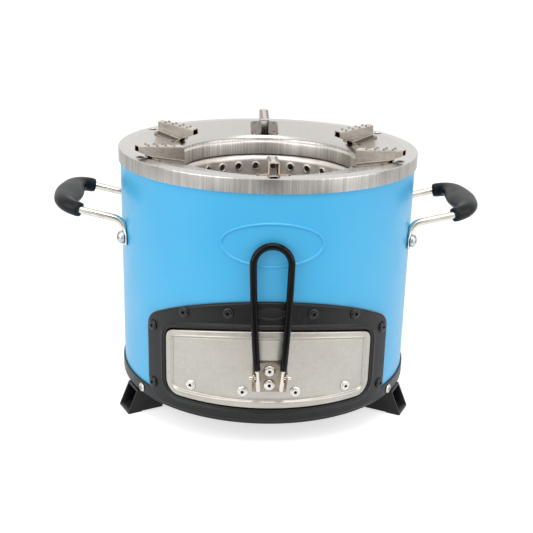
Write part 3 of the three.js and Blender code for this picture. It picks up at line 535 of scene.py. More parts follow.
    @staticmethod
    def smooth(piece: Piece, angle: float = 30) -> None:
        """Smooths the shading over edges flatter than an angle in degrees."""
        Bench.hold(piece)
        bpy.ops.object.shade_smooth_by_angle(angle=math.radians(angle))


@dataclass(frozen=True)
class Station:
    """One ring of a bar: its middle, the ways that bar and width run there, and half its sizes."""

    middle: Vector
    along: Vector
    across: Vector
    half_width: float
    half_height: float

    def ring(self, sides: int) -> list[Point]:
        """Draws the ring.

        Args:
            sides: Number of its corners.

        Returns:
            The corners.
        """
        along = self.along.normalized()
        across = (self.across - along * self.across.dot(along)).normalized()
        up = along.cross(across)
        return [tuple(self.middle + across * (self.half_width * x) + up * (self.half_height * y))
                for x, y in arc((0, 0), 1, 0, 360, sides)[:-1]]


class Bar:
    """A bar that is drawn from ring to ring."""

    @staticmethod
    def make(name: str, stations: Sequence[Station], sides: int) -> Piece:
        """Builds the closed bar through its rings, each with a number of corners."""
        return Bench.tube(name, [station.ring(sides) for station in stations])

    @staticmethod
    def along(line: Sequence[Vector], across: Vector, radius: Callable[[int, float], tuple[float, float]],
              last_way: Vector | None = None) -> list[Station]:
        """Stations along a line, with the width carried on from one to the next.

        Args:
            line: Middles of the rings.
            across: Way that the width lies at the first.
            radius: Half width and half height, from a ring's place in the list and the length run so far.
            last_way: Way that the bar runs at its last ring, or None for the way of its last chord.

        Returns:
            The stations.
        """
        stations: list[Station] = []
        run = 0.0
        side = across
        for i, point in enumerate(line):
            before, after = line[max(i - 1, 0)], line[min(i + 1, len(line) - 1)]
            way = (after - before).normalized()
            if i == len(line) - 1 and last_way is not None:
                way = last_way
            run += (point - before).length
            side = (side - way * side.dot(way)).normalized()
            stations.append(Station(point, way, side, *radius(i, run)))
        return stations

    @staticmethod
    def round(name: str, line: Sequence[Vector], radius: float, ends: dict[int, float], sides: int) -> Piece:
        """Builds a round bar that starts out with its width along x.

        Args:
            name: Name of the piece.
            line: Middles of its rings.
            radius: Its radius.
            ends: Radius of a ring near an end, by its place in the line, counted back where negative.
            sides: Corners of each ring.

        Returns:
            The closed piece.
        """
        sizes = [radius] * len(line)
        for i, size in ends.items():
            sizes[i] = size
        return Bar.make(name, Bar.along(line, Vector((1, 0, 0)), lambda i, run: (sizes[i], sizes[i])), sides)


@dataclass(frozen=True)
class Crowned:
    """A flat outline with a straight foot and sides, a crowned top and four rounded corners."""

    half: float
    low: float
    shoulder: float
    crown: float
    top_corner: float
    low_corner: float

    def grown(self, margin: float) -> list[Flat]:
        """The outline, grown outwards.

        Args:
            margin: How far it grows.

        Returns:
            Its corners, counted from the left of the foot.
        """
        side, foot, edge = self.half + margin, self.low - margin, self.shoulder + margin
        small = max(self.top_corner + margin, 0.3)
        large = max(self.low_corner + margin, 0.3)
        flat = side - small
        slope = 2 * (self.crown - self.shoulder) / flat
        turn = edge - slope * small
        points = arc((side - large, foot + large), large, -90, 0, 8)
        points += bow((side, turn - small), (side, turn), (flat, edge), 6)
        points += bow((flat, edge), (0, edge + slope * flat), (-flat, edge), 32)[1:]
        points += bow((-flat, edge), (-side, turn), (-side, turn - small), 6)[1:]
        points += arc((large - side, foot + large), large, 180, 270, 8)
        return points


@dataclass(frozen=True)
class Oval:
    """A flat oval outline."""

    half: float
    half_height: float
    rise: float

    def grown(self, margin: float) -> list[Flat]:
        """The outline, grown outwards by a margin."""
        wide, high = self.half + margin, self.half_height + margin
        return [(wide * x, self.rise + high * z) for x, z in arc((0, 0), 1, 0, 360, 72)[:-1]]


@dataclass(frozen=True)
class Trunk:
    """The body's main sizes, which several sub-assemblies share."""

    foot: float = 25
    top: float = 257.3
    radius: float = 145.6
    ring: float = 147.4
    band: float = 147.3
    flat: float = 136
    mouth: float = 95
    cone: float = 0.2195
    front: float = 150
    pivot_reach: float = 160
    pivot_height: float = 78.3
    drawer: Crowned = Crowned(103.7, 17.5, 83, 93.7, 8.5, 15)
    frame: Crowned = Crowned(130.8, 3, 94.2, 121, 12, 22)

    def cover(self, radius: float) -> float:
        """Height of the cover ring's top at a distance from the axis."""
        return self.top - max(0.0, self.flat - radius) * self.cone

    def loop(self, outline: Crowned | Oval, margin: float, depth: float) -> list[Point]:
        """One flat line of a rolled piece: an outline grown by a margin, at a depth in y, above the floor."""
        return [(x, depth, self.foot + z) for x, z in outline.grown(margin)]


def shifted(x: float, y: float, z: float) -> Matrix:
    """Shift by a way in millimetres."""
    return Matrix.Translation(Vector((x, y, z)) * MM)


def both_sides(spots: Iterable[Flat]) -> list[Flat]:
    """Places on the left and the right, from places on the right."""
    return [(side * across, height) for across, height in spots for side in (-1, 1)]


def radial(angle: float, distance: float = 0, height: float = 0) -> Matrix:
    """Place on the body, at an angle from the front, for a piece modelled at the origin that looks to -y."""
    turn = Matrix.Rotation(math.radians(angle), 4, "Z")
    return turn @ shifted(0, -distance, height)


class Body(Enum):
    """The bodies of the frame that pieces ride on."""

    STOVE = "stove"
    DRAWER = "drawer"
    HANDLE = "handle"
    GRATE = "grate"


def linear(colour: str) -> tuple[float, float, float, float]:
    """Turns a screen colour of six hexadecimal digits into red, green, blue and alpha for a shader."""
    parts = [int(colour[i : i + 2], 16) / 255 for i in (0, 2, 4)]
    return (*[p / 12.92 if p <= 0.04045 else ((p + 0.055) / 1.055) ** 2.4 for p in parts], 1.0)


class Board:
    """Node board of one material, with its shader at the end."""

    MIX_FIRST, MIX_SECOND, MIX_RESULT = 6, 7, 2
    LEVEL_FROM, UPRIGHT_FROM = 0.75, 0.4

    def __init__(self, name: str) -> None:
        """Makes the material.

        Args:
            name: Its name.
        """
        self.material = bpy.data.materials.new(name)
        self.material.use_nodes = True
        self.tree = self.material.node_tree
        self.shader = self.tree.nodes["Principled BSDF"]
        self.place = self.tree.nodes.new("ShaderNodeTexCoord").outputs["Object"]

    def set(self, **values: object) -> None:
        """Sets uniform values on the shader's own sockets, such as Coat_Weight=0.2."""
        for key, value in values.items():
            self.shader.inputs[key.replace("_", " ")].default_value = value

    def feed(self, socket: str, source: bpy.types.NodeSocket) -> None:
        """Links a source to one of the shader's sockets."""
        self.tree.links.new(source, self.shader.inputs[socket])

    def node(self, kind: str, inputs: dict[str | int, object], **settings: object) -> bpy.types.Node:
        """Adds a node.

        Args:
            kind: Blender's name of the node type.
            inputs: Values or sources of its sockets, by name or number.
            settings: Its own settings.

        Returns:
            The node.
        """
        node = self.tree.nodes.new(kind)
        for key, value in settings.items():
            setattr(node, key, value)
        for key, value in inputs.items():
            if isinstance(value, bpy.types.NodeSocket):
                self.tree.links.new(value, node.inputs[key])
            else:
                node.inputs[key].default_value = value
        return node

    def stretched(self, scale: Point) -> bpy.types.NodeSocket:
        """Object coordinates, stretched by a scale along each axis."""
        return self.node("ShaderNodeMapping", {"Vector": self.place, "Scale": scale}).outputs["Vector"]

    def noise(self, scale: float, detail: float = 4, rough: float = 0.5,
              place: bpy.types.NodeSocket | None = None, twist: float = 0) -> bpy.types.NodeSocket:
        """A noise from 0 to 1: its scale, finer layers and their weight, coordinates and distortion."""
        inputs = {"Vector": place or self.place, "Scale": scale, "Detail": detail, "Roughness": rough}
        return self.node("ShaderNodeTexNoise", {**inputs, "Distortion": twist}).outputs["Fac"]

    def ramp(self, source: bpy.types.NodeSocket, low: float, high: float, start: float = 0,
             end: float = 1) -> bpy.types.NodeSocket:
        """Maps a source's range from low to high onto the range from start to end."""
        inputs = {"Value": source, "From Min": low, "From Max": high, "To Min": start, "To Max": end}
        return self.node("ShaderNodeMapRange", inputs).outputs["Result"]

    def mix(self, factor: bpy.types.NodeSocket, first: object, second: object) -> bpy.types.NodeSocket:
        """Mixes two colours.

        Args:
            factor: Share of the second.
            first: Source, or colour of six hexadecimal digits.
            second: The same.

        Returns:
            The mixed colour.
        """
        first, second = (linear(c) if isinstance(c, str) else c for c in (first, second))
        inputs = {"Factor": factor, self.MIX_FIRST: first, self.MIX_SECOND: second}
        return self.node("ShaderNodeMix", inputs, data_type="RGBA").outputs[self.MIX_RESULT]

    def sum(self, first: bpy.types.NodeSocket, second: object, way: str = "ADD") -> bpy.types.NodeSocket:
        """Combines two numbers by ADD, MULTIPLY or another sum of the math node."""
        return self.node("ShaderNodeMath", {0: first, 1: second}, operation=way).outputs[0]

    def upright(self) -> bpy.types.NodeSocket:
        """Finds how upright a surface is.

        Returns:
            The share, from 0 on a level face to 1 on an upright wall.
        """
        normal = self.node("ShaderNodeNewGeometry", {}).outputs["Normal"]
        height = self.node("ShaderNodeSeparateXYZ", {0: normal}).outputs["Z"]
        return self.ramp(self.sum(height, 0.0, "ABSOLUTE"), self.LEVEL_FROM, self.UPRIGHT_FROM)

    def bump(self, height: bpy.types.NodeSocket, depth: float) -> None:
        """Raises the surface by a height pattern, to a depth in millimetres."""
        node = self.node("ShaderNodeBump", {"Height": height, "Distance": depth * MM, "Strength": 1.0})
        self.feed("Normal", node.outputs["Normal"])

    def glow(self, colour: float, level: float, strength: float) -> None:
        """Makes a dull stage surface: its own grey, the grey that it sheds and how strongly."""
        self.set(Base_Color=(colour, colour, colour, 1), Roughness=1.0, Specular_IOR_Level=0.0)
        self.set(Emission_Color=(level, level, level, 1), Emission_Strength=strength)


@dataclass(frozen=True)
class Coated:
    """Powder-coated steel: an even colour, slightly mottled, under a fine orange peel."""

    name: str
    colour: str
    deeper: str
    roughness: float
    peel: float
    coat: float = 0.0
    shine: float = 0.5

    def paint(self, board: Board) -> None:
        """Builds the material.

        Args:
            board: Its node board.
        """
        cloud = board.ramp(board.noise(9, 3), 0.35, 0.65)
        grain = board.ramp(board.noise(900, 2), 0.3, 0.7)
        tone = board.mix(cloud, self.colour, self.deeper)
        fine = board.ramp(grain, 0, 1, 0, 0.12)
        board.feed("Base Color", board.mix(fine, tone, self.deeper))
        rub = board.ramp(board.noise(35, 5), 0.3, 0.75, self.roughness - 0.05, self.roughness + 0.07)
        board.feed("Roughness", rub)
        board.bump(board.noise(520, 3), self.peel)
        board.set(Coat_Weight=self.coat, Coat_Roughness=0.25, Specular_IOR_Level=self.shine)


@dataclass(frozen=True)
class Brushed:
    """Brushed stainless sheet: its streaks run from front to back, and down where it is bent over."""

    name: str
    light: str
    dark: str
    roughness: float
    level_share: float = 0.08
    depth: float = 0.006

    def paint(self, board: Board) -> None:
        """Builds the material.

        Args:
            board: Its node board.
        """
        streak = board.noise(1, 4, 0.65, board.stretched((700, 12, 12)))
        broad = board.noise(1, 2, 0.5, board.stretched((150, 6, 6)))
        tone = board.sum(board.ramp(streak, 0.35, 0.65), board.ramp(broad, 0.35, 0.65, 0, 0.45))
        wall = board.sum(board.ramp(tone, 0.1, 1.6, 1, 0), board.upright(), "MULTIPLY")
        level = board.sum(board.ramp(tone, 0.1, 1.6, self.level_share, 0), wall, "MAXIMUM")
        board.feed("Base Color", board.mix(level, self.light, self.dark))
        board.feed("Roughness", board.ramp(streak, 0.3, 0.7, self.roughness + 0.05, self.roughness - 0.02))
        board.bump(streak, self.depth)
        board.set(Metallic=1.0)


@dataclass(frozen=True)
class Satin:
    """Dull stainless sheet: warm grey, softly mottled, with faint rubbing marks."""

    name: str
    light: str
    dark: str
    roughness: float
    streaks: float = 0.35

    def paint(self, board: Board) -> None:
        """Builds the material.

        Args:
            board: Its node board.
        """
        cloud = board.ramp(board.noise(30, 6, 0.75), 0.3, 0.7)
        grain = board.ramp(board.noise(420, 3, 0.6), 0.3, 0.7, 0, 0.5)
        rubbed = board.ramp(board.noise(1, 4, 0.6, board.stretched((60, 60, 700))), 0.3, 0.7, 0, self.streaks)
        shade = board.ramp(board.sum(board.sum(cloud, rubbed), grain), 0.2, 1.3 + self.streaks)
        board.feed("Base Color", board.mix(shade, self.dark, self.light))
        board.feed("Roughness", board.ramp(cloud, 0, 1, self.roughness - 0.05, self.roughness + 0.09))
        board.bump(board.noise(160, 4, 0.6), 0.012)
        board.set(Metallic=1.0)


@dataclass(frozen=True)
class Plated:
    """Bright plated metal with a faint haze."""

    name: str
    colour: str
    haze: str
    roughness: float

    def paint(self, board: Board) -> None:
        """Builds the material.

        Args:
            board: Its node board.
        """
        cloud = board.ramp(board.noise(120, 4, 0.6), 0.35, 0.7)
        board.feed("Base Color", board.mix(cloud, self.colour, self.haze))
        board.feed("Roughness", board.ramp(cloud, 0, 1, self.roughness, self.roughness + 0.12))
        board.bump(board.noise(700, 3), 0.003)
        board.set(Metallic=1.0)


@dataclass(frozen=True)
class Moulded:
    """Moulded rubber or vinyl: near black, with a fine skin and slightly worn gloss."""

    name: str
    colour: str
    worn: str
    roughness: float
    skin: float
    scale: float
    shine: float

    def paint(self, board: Board) -> None:
        """Builds the material.

        Args:
            board: Its node board.
        """
        cloud = board.ramp(board.noise(45, 5, 0.55), 0.35, 0.7)
        board.feed("Base Color", board.mix(cloud, self.colour, self.worn))
        board.feed("Roughness", board.ramp(cloud, 0, 1, self.roughness - 0.04, self.roughness + 0.08))
        board.bump(board.noise(self.scale, 3), self.skin)
        board.set(Specular_IOR_Level=self.shine)


@dataclass(frozen=True)
class Cast:
    """Rough casting: dark iron with sandy grain and a little rust."""

    name: str = "grate_iron"
    colour: str = "2a2928"
    ash: str = "4a4643"
    rust: str = "4b3426"

    def paint(self, board: Board) -> None:
        """Builds the material.

        Args:
            board: Its node board.
        """
        sand = board.noise(480, 5, 0.65)
        tone = board.mix(board.ramp(sand, 0.4, 0.7), self.colour, self.ash)
        spots = board.ramp(board.noise(60, 6, 0.7), 0.6, 0.75, 0, 0.5)
        board.feed("Base Color", board.mix(spots, tone, self.rust))
        board.feed("Roughness", board.ramp(sand, 0.3, 0.7, 0.6, 0.85))
        board.bump(sand, 0.25)
        board.set(Metallic=0.55)


@dataclass(frozen=True)
class Wool:
    """Ceramic wool: off-white matted fibres."""

    name: str = "packing_wool"
    colour: str = "e3ddcf"
    shade: str = "b9b09d"

    def paint(self, board: Board) -> None:
        """Builds the material.

        Args:
            board: Its node board.
        """
        fibre = board.noise(240, 8, 0.75, board.stretched((1, 1, 2.5)), 1.2)
        board.feed("Base Color", board.mix(board.ramp(fibre, 0.35, 0.65), self.shade, self.colour))
        board.bump(fibre, 1.2)
        board.set(Roughness=0.95, Sheen_Weight=0.2)


@dataclass(frozen=True)
class Galvanised:
    """Zinc-coated sheet with its crystal spangle."""

    name: str = "zinc_sheet"
    light: str = "b4b7ba"
    dark: str = "85898d"

    def paint(self, board: Board) -> None:
        """Builds the material.

        Args:
            board: Its node board.
        """
        warp = board.node("ShaderNodeTexVoronoi", {"Vector": board.place, "Scale": 120.0}, feature="F1")
        tint = board.node("ShaderNodeSeparateColor", {0: warp.outputs["Color"]}).outputs[0]
        board.feed("Base Color", board.mix(tint, self.dark, self.light))
        board.feed("Roughness", board.ramp(tint, 0, 1, 0.38, 0.55))
        board.bump(board.noise(300, 3), 0.03)
        board.set(Metallic=0.9)


@dataclass(frozen=True)
class Burnt:
    """Browned steel of a spot weld."""

    name: str = "weld_mark"
    colour: str = "7d6a58"
    darker: str = "5a4a3e"

    def paint(self, board: Board) -> None:
        """Builds the material.

        Args:
            board: Its node board.
        """
        burn = board.ramp(board.noise(900, 3), 0.35, 0.65)
        board.feed("Base Color", board.mix(burn, self.colour, self.darker))
        board.feed("Roughness", board.ramp(burn, 0, 1, 0.35, 0.5))
        board.set(Metallic=1.0)


class Finish(Enum):
    """The finishes, each with the record's slot that it stands for."""

    BLUE = ("blue_paint", Coated("sky_blue_paint", "3db9ee", "36b4ea", 0.42, 0.035, 0.5, 0.6))
    BLACK = ("black_paint", Coated("satin_black_paint", "08090a", "060707", 0.34, 0.05, 0, 0.38))
    GLOSS = ("black_paint", Coated("gloss_black_paint", "0d0e0f", "0a0b0c", 0.24, 0.02, 0, 0.45))
    COVER = ("brushed_cover", Brushed("brushed_ring_steel", "cfccc7", "a5a19c", 0.25))
    COLLAR = ("brushed_cover", Brushed("collar_steel", "efece7", "b0aba4", 0.36, 0.12))
    SUPPORT = ("brushed_cover", Satin("support_steel", "99938c", "716a63", 0.3, 0.6))
    # Painted highlight: the upward tops of the pot supports are painted lighter than their sides.
    TOP_HIGHLIGHT = ("brushed_cover", Satin("painted_highlight_steel", "e2ddd6", "bcb5ac", 0.25))
    EDGE = ("brushed_cover", Satin("cut_steel_edge", "e8d5bb", "c2ab90", 0.5))
    # Painted shade: the insides of the pot supports' channels are painted near black.
    SHADED = ("brushed_cover", Satin("painted_shade_steel", "201e1c", "151312", 0.5))
    WELD = ("brushed_cover", Burnt())
    FIREBOX = ("firebox_steel", Satin("heated_steel", "ece6df", "cbc4bc", 0.44))
    IRON = ("cast_grate", Cast())
    WOOL = ("ceramic_wool", Wool())
    ZINC = ("galvanised_sheet", Galvanised())
    FRONT = ("satin_stainless", Satin("drawer_stainless", "c6c2ba", "b2ada4", 0.33))
    # Painted reflection: the bracket is painted browner and darker than the drawer front, for what it
    # reflects.
    BRACKET = ("satin_stainless", Satin("bracket_steel_painted_reflection", "a99f92", "857a6e", 0.36))
    CHROME = ("bright_plating", Plated("plated_wire", "e6e1d7", "d2cdc3", 0.06))
    ZINCED = ("bright_plating", Plated("zinc_screw", "d3dadb", "aab3b4", 0.2))
    ALUMINIUM = ("bright_aluminium", Plated("rivet_aluminium", "e6e3dd", "cac6bf", 0.16))
    SCREW = ("dark_screw", Plated("ring_screw_steel", "2a2826", "1c1a18", 0.3))
    SLEEVE = ("black_sleeve", Moulded("sleeve_vinyl", "060707", "080909", 0.16, 0.01, 300, 0.18))
    GRIP = ("black_grip", Moulded("grip_rubber", "101213", "17191a", 0.36, 0.05, 650, 0.23))

    @property
    def slot(self) -> str:
        """The record's slot."""
        return self.value[0]

    def material(self) -> bpy.types.Material:
        """Makes the material when it is first asked for.

        Returns:
            The material.
        """
        recipe = self.value[1]
        if recipe.name not in bpy.data.materials:
            recipe.paint(Board(recipe.name))
        return bpy.data.materials[recipe.name]


@dataclass
class Assembly:
    """A sub-assembly. It fits its pieces to the frame as they are finished."""

    trunk: Trunk = field(default_factory=Trunk)

    def fit(self, piece: Piece, finish: Finish, body: Body, node: str, angle: float = 30,
            centred: bool = False) -> None:
        """Puts a finished piece in place of a node of the frame.

        Args:
            piece: The piece, with its mesh about the body's axis.
            finish: Its finish.
            body: Body that it rides on.
            node: Node that it stands for.
            angle: Edges flatter than this many degrees are shaded smooth.
            centred: Whether its mesh is already in the frame's own place.
        """
        if not centred:
            Bench.move(piece, Matrix.Translation((0, AXIS_Y * MM, 0)))
        Bench.smooth(piece, angle)
        if not piece.data.materials:
            piece.data.materials.append(finish.material())
        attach(piece, body.value)
        finish.slot
        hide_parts(node)
        LOG.info("%s: %d faces, on %s, for %s", piece.name, len(piece.data.polygons), body.value, node)

    def carry(self, name: str, node: str, finish: Finish, body: Body, edge: float) -> None:
        """Puts a copy of a node, with its edges rounded, in the node's place."""
        self.fit(Bench.carried(name, node, edge), finish, body, node, centred=True)

    def studs(self, name: str, node: str, spots: Iterable[Flat], reach: float) -> list[Row]:
        """Name, node and place of numbered rivets on the front.

        Args:
            name: Start of their names.
            node: Start of their nodes' names.
            spots: Their distances along the arc and heights over the foot.
            reach: Their distance from the axis.

        Returns:
            The rows that a repeat takes.
        """
        front, foot = self.trunk.front, self.trunk.foot
        return [(f"{name}_{i}", f"{node}_{i}", radial(math.degrees(along / front), reach, foot + height))
                for i, (along, height) in enumerate(spots, 1)]

    def repeat(self, model: Piece, finish: Finish, body: Body, places: Sequence[Row],
               angle: float = 30) -> None:
        """Fits copies of a piece that was modelled once, and throws the model away.

        Args:
            model: The piece at the origin.
            finish: Its finish.
            body: Body that the copies ride on.
            places: Name, node and place of each copy.
            angle: Edges flatter than this many degrees are shaded smooth.
        """
        for name, node, place in places:
            self.fit(Bench.copy(model, name, place), finish, body, node, angle)
        bpy.data.objects.remove(model)


@dataclass
class Casing(Assembly):
    """The blue casing with its doorway and its blank pressed panel."""

    wall: float = 1
    low: float = 26.8
    high: float = 256
    doorway_gap: float = 3
    panel: Oval = Oval(47.5, 21, 173)
    bead: float = 3.2
    bead_height: float = 1.4
    bead_steps: int = 8
    facets: int = 288

    def build(self) -> None:
        """Builds and fits the casing."""
        radius = self.trunk.radius
        inner = radius - self.wall
        section = [(inner, self.low), (radius, self.low), (radius, self.high), (inner, self.high)]
        shell = Bench.turned("painted_casing", section, self.facets)
        Bench.cut(shell, self._doorway())
        Bench.join(shell, self._panel())
        self.fit(shell, Finish.BLUE, Body.STOVE, "outer_shell", angle=40)

    def _doorway(self) -> Piece:
        """The block that opens the doorway, which shows the drawer's outline when it is seen from the front.

        Returns:
            The block.
        """
        front = self.trunk.front
        flat = self.trunk.drawer.grown(self.doorway_gap)
        outline = [(front * math.sin(x / front), 0, self.trunk.foot + z) for x, z in flat]
        return Bench.slab("doorway", outline, (0, -2 * front, 0))

    def _panel(self) -> Piece:
        """The raised line round the blank panel.

        Returns:
            The closed bead, on the casing.
        """
        sunk = self.wall / 2
        crown = [(-self.bead * share, -self.bead_height * math.sin(math.pi * share))
                 for share in spread(0, 1, self.bead_steps)[1:-1]]
        steps = [(0, sunk), (0, 0), *crown, (-self.bead, 0), (-self.bead, sunk)]
        lines = [self.trunk.loop(self.panel, margin, depth) for margin, depth in steps]
        bead = Bench.drawn("panel_bead", lines, closed=True, ring=True)
        Bench.outwards()
        Bench.free()
        Bench.roll(bead, self.trunk.radius, FINE_FOLD)
        return bead


@dataclass
class Base(Assembly):
    """The black pan, its three feet and the band screws."""

    floor: float = 1.5
    edge: float = 1.2
    band_high: float = 37.5
    band_clearance: float = 0.3
    foot_edge: float = 0.9
    feet: tuple[tuple[str, float], ...] = (("front_left", -55.5), ("front_right", 55.5), ("rear", 180))
    screw_rise: float = 5.6
    facets: int = 240

    def build(self) -> None:
        """Builds and fits the pan, the feet and their screws."""
        foot, band, inner = self.trunk.foot, self.trunk.band, self.trunk.radius + self.band_clearance
        section = [(0, foot), (band, foot), (band, self.band_high), (inner, self.band_high),
                   (inner, foot + self.floor), (0, foot + self.floor)]
        pan = Bench.turned("base_band", eased(section, {1: self.edge, 2: self.edge / 2}), self.facets)
        self.fit(pan, Finish.BLACK, Body.STOVE, "base_pan")
        for name, _ in self.feet:
            self.carry(f"stand_{name}", f"foot_{name}", Finish.BLACK, Body.STOVE, self.foot_edge)
        reach, height = band + self.band_clearance, foot + self.screw_rise
        places = [(f"band_screw_{name}", f"foot_screw_{name}", radial(angle, reach, height))
                  for name, angle in self.feet]
        screw = Screw("band_screw", head=4.6, crown=1.5).model()
        self.repeat(screw, Finish.ALUMINIUM, Body.STOVE, places)


@dataclass(frozen=True)
class Screw:
    """A round-headed screw with a cross recess, head towards -y and its back at y = 0."""

    name: str
    head: float
    crown: float
    shank: float = 2
    length: float = 1.5
    undercut: float = 0.1
    facets: int = 32

    def model(self) -> Piece:
        """Models the screw at the origin.

        Returns:
            The piece.
        """
        rim = 0.28 * self.crown
        dome = bow((self.head, rim), (0.93 * self.head, self.crown), (0.25 * self.head, self.crown), 6)
        section = [(0, -self.length), (self.shank, -self.length), (self.shank, 0),
                   (self.head - self.undercut, 0), *dome, (0, self.crown)]
        screw = Bench.turned(self.name, section, self.facets)
        Bench.cut(screw, self._cross())
        Bench.move(screw, Matrix.Rotation(QUARTER_TURN, 4, "X"))
        return screw

    def _cross(self) -> Piece:
        """The cross that sinks the recess.

        Returns:
            The cutter.
        """
        long, wide, over = 0.52 * self.head, 0.13 * self.head, 1
        corner = [(wide, wide), (wide, long), (-wide, long)]
        turns = [Matrix.Rotation(quarter * QUARTER_TURN, 2) for quarter in range(4)]
        outline = [(*(turn @ Vector(p)), self.crown + over) for turn in turns for p in corner]
        return Bench.slab("cross", outline, (0, 0, -over - 0.6 * self.crown))


@dataclass(frozen=True)
class Rivet:
    """A blind rivet: a dished round head with the mandrel's hole, head towards -y."""

    name: str
    head: float = 5.35
    crown: float = 1.8
    hole: float = 1.4
    floor: float = 0.1
    rim: float = 0.1
    undercut: float = 0.15
    shank: float = 2.4
    length: float = 1
    facets: int = 32

    def model(self, finish: Finish) -> Piece:
        """Models the rivet at the origin.

        Args:
            finish: Finish of its head.

        Returns:
            The piece.
        """
        head, crown, hole = self.head, self.crown, self.hole
        lip = bow((hole, 0.72 * crown), (hole, 0.97 * crown), (1.5 * hole, crown), 3)
        dome = bow((0.58 * head, 0.98 * crown), (0.97 * head, 0.82 * crown), (head, self.rim), 7)
        section = [(0, -self.length), (self.shank, -self.length), (self.shank, 0), (head - self.undercut, 0),
                   *reversed(dome), *reversed(lip), (hole, self.floor), (0, self.floor)]
        rivet = Bench.turned(self.name, section, self.facets)
        for part in (finish, Finish.SCREW):
            rivet.data.materials.append(part.material())
        for face in rivet.data.polygons:
            inside = math.hypot(face.center.x, face.center.y) < 1.01 * hole * MM
            if inside and self.floor * MM - SAME_PLACE < face.center.z:
                face.material_index = 1
        Bench.move(rivet, Matrix.Rotation(QUARTER_TURN, 4, "X"))
        return rivet


@dataclass
class Cover(Assembly):
    """The brushed cover ring with its dimples and screws, and the collar under its lip."""

    wall: float = 1
    skirt: float = 13.3
    edge: float = 1.3
    lip: float = 3
    lip_drop: float = 3
    dimple_reach: float = 138.4
    dimple: float = 5.2
    dimple_floor: float = 3.3
    dimple_depth: float = 1.8
    dimple_facets: int = 32
    seam: float = 0.2
    screw_depth: float = 0.85
    over: float = 2
    facets: int = 240
    collar_wall: float = 0.8
    collar_inset: float = 5
    collar_shoulder: float = 17.5
    collar_foot: float = 28.7
    rim_in: float = 3
    rim_out: float = 15
    rim_drop: float = 1.33

    def build(self) -> None:
        """Builds and fits the ring, the collar and the ring screws."""
        self._ring()
        self._collar()
        screw = Screw("ring_screw_model", head=4.2, crown=0.6, length=1.9).model()
        Bench.move(screw, Matrix.Rotation(-QUARTER_TURN, 4, "X"))
        height = self.trunk.top - self.screw_depth
        places = [(f"cover_screw_{name}", f"ring_screw_{name}", radial(angle, self.dimple_reach, height))
                  for name, angle in SPOKES.items()]
        self.repeat(screw, Finish.SCREW, Body.STOVE, places)

    def _ring(self) -> None:
        """Builds the cover ring: skirt, flat band, cone and rolled lip."""
        top, ring, mouth, flat = self.trunk.top, self.trunk.ring, self.trunk.mouth, self.trunk.flat
        low = self.trunk.cover(mouth)
        section = [
            (ring, top - self.skirt), (ring, top), (flat, top), (mouth, low),
            (mouth - self.lip, low - self.lip_drop), (mouth - self.lip + self.wall, low - self.lip_drop),
            (mouth, low - self.wall), (flat, top - self.wall), (ring - self.wall, top - self.wall),
            (ring - self.wall, top - self.skirt),
        ]
        roundings = {1: self.edge, 2: 4, 3: 1.8, 6: 1, 8: 0.6}
        cover = Bench.turned("cover_ring", eased(section, roundings), self.facets)
        for angle in SPOKES.values():
            place = radial(angle, self.dimple_reach, top)
            Bench.cut(cover, self._plug(place, self.wall, self.seam - self.wall), "UNION")
            Bench.cut(cover, self._plug(place, 0, self.over))
        Bench.clean(cover)
        self.fit(cover, Finish.COVER, Body.STOVE, "top_ring", angle=25)

    def _plug(self, place: Matrix, wall: float, high: float) -> Piece:
        """A round block that fills a dimple, or its cup with its wall.

        Args:
            place: Where the dimple is.
            wall: How much wider and lower than the dimple it is.
            high: Height of its upper end over the ring.

        Returns:
            The piece.
        """
        slope = (self.dimple - self.dimple_floor) / self.dimple_depth
        low, near = -self.dimple_depth - wall, self.dimple_floor + wall
        far = self.dimple + wall + slope * high
        section = [(0, low), (near, low), (far, high), (0, high)]
        plug = Bench.turned("plug", section, self.dimple_facets)
        Bench.move(plug, place)
        return plug

    def _collar(self) -> None:
        """Builds the collar: a rim under the cover's cone and an upright wall with a rolled foot."""
        wall, radius, top = self.collar_wall, self.trunk.mouth - self.collar_inset, self.trunk.top
        near, far = self.trunk.mouth + self.rim_in, self.trunk.mouth + self.rim_out
        near_rim, far_rim = (self.trunk.cover(r) - self.rim_drop for r in (near, far))
        shoulder, foot = top - self.collar_shoulder, top - self.collar_foot
        steps = [(4.3, 6.1), (2.9, 4.9), (2.6, 3), (0.5, 1.6), (0.1, -0.6)]
        steps = [(radius + r, shoulder + z) for r, z in steps]
        inner = [(far, far_rim), (near, near_rim), *steps, (radius, foot)]
        outer = [(radius + wall, foot), (radius + wall, shoulder + 0.2), (radius + 4.4, shoulder + 4.7),
                 (near + 0.3, near_rim - wall), (far, far_rim - wall)]
        roundings = {1: 2, 2: 1, 3: 0.8, 4: 0.7, 5: 0.9, 9: 2, 10: 2}
        collar = Bench.turned("mouth_collar", eased(inner + outer, roundings, 5), self.facets)
        self.fit(collar, Finish.COLLAR, Body.STOVE, "flame_collar", angle=35)


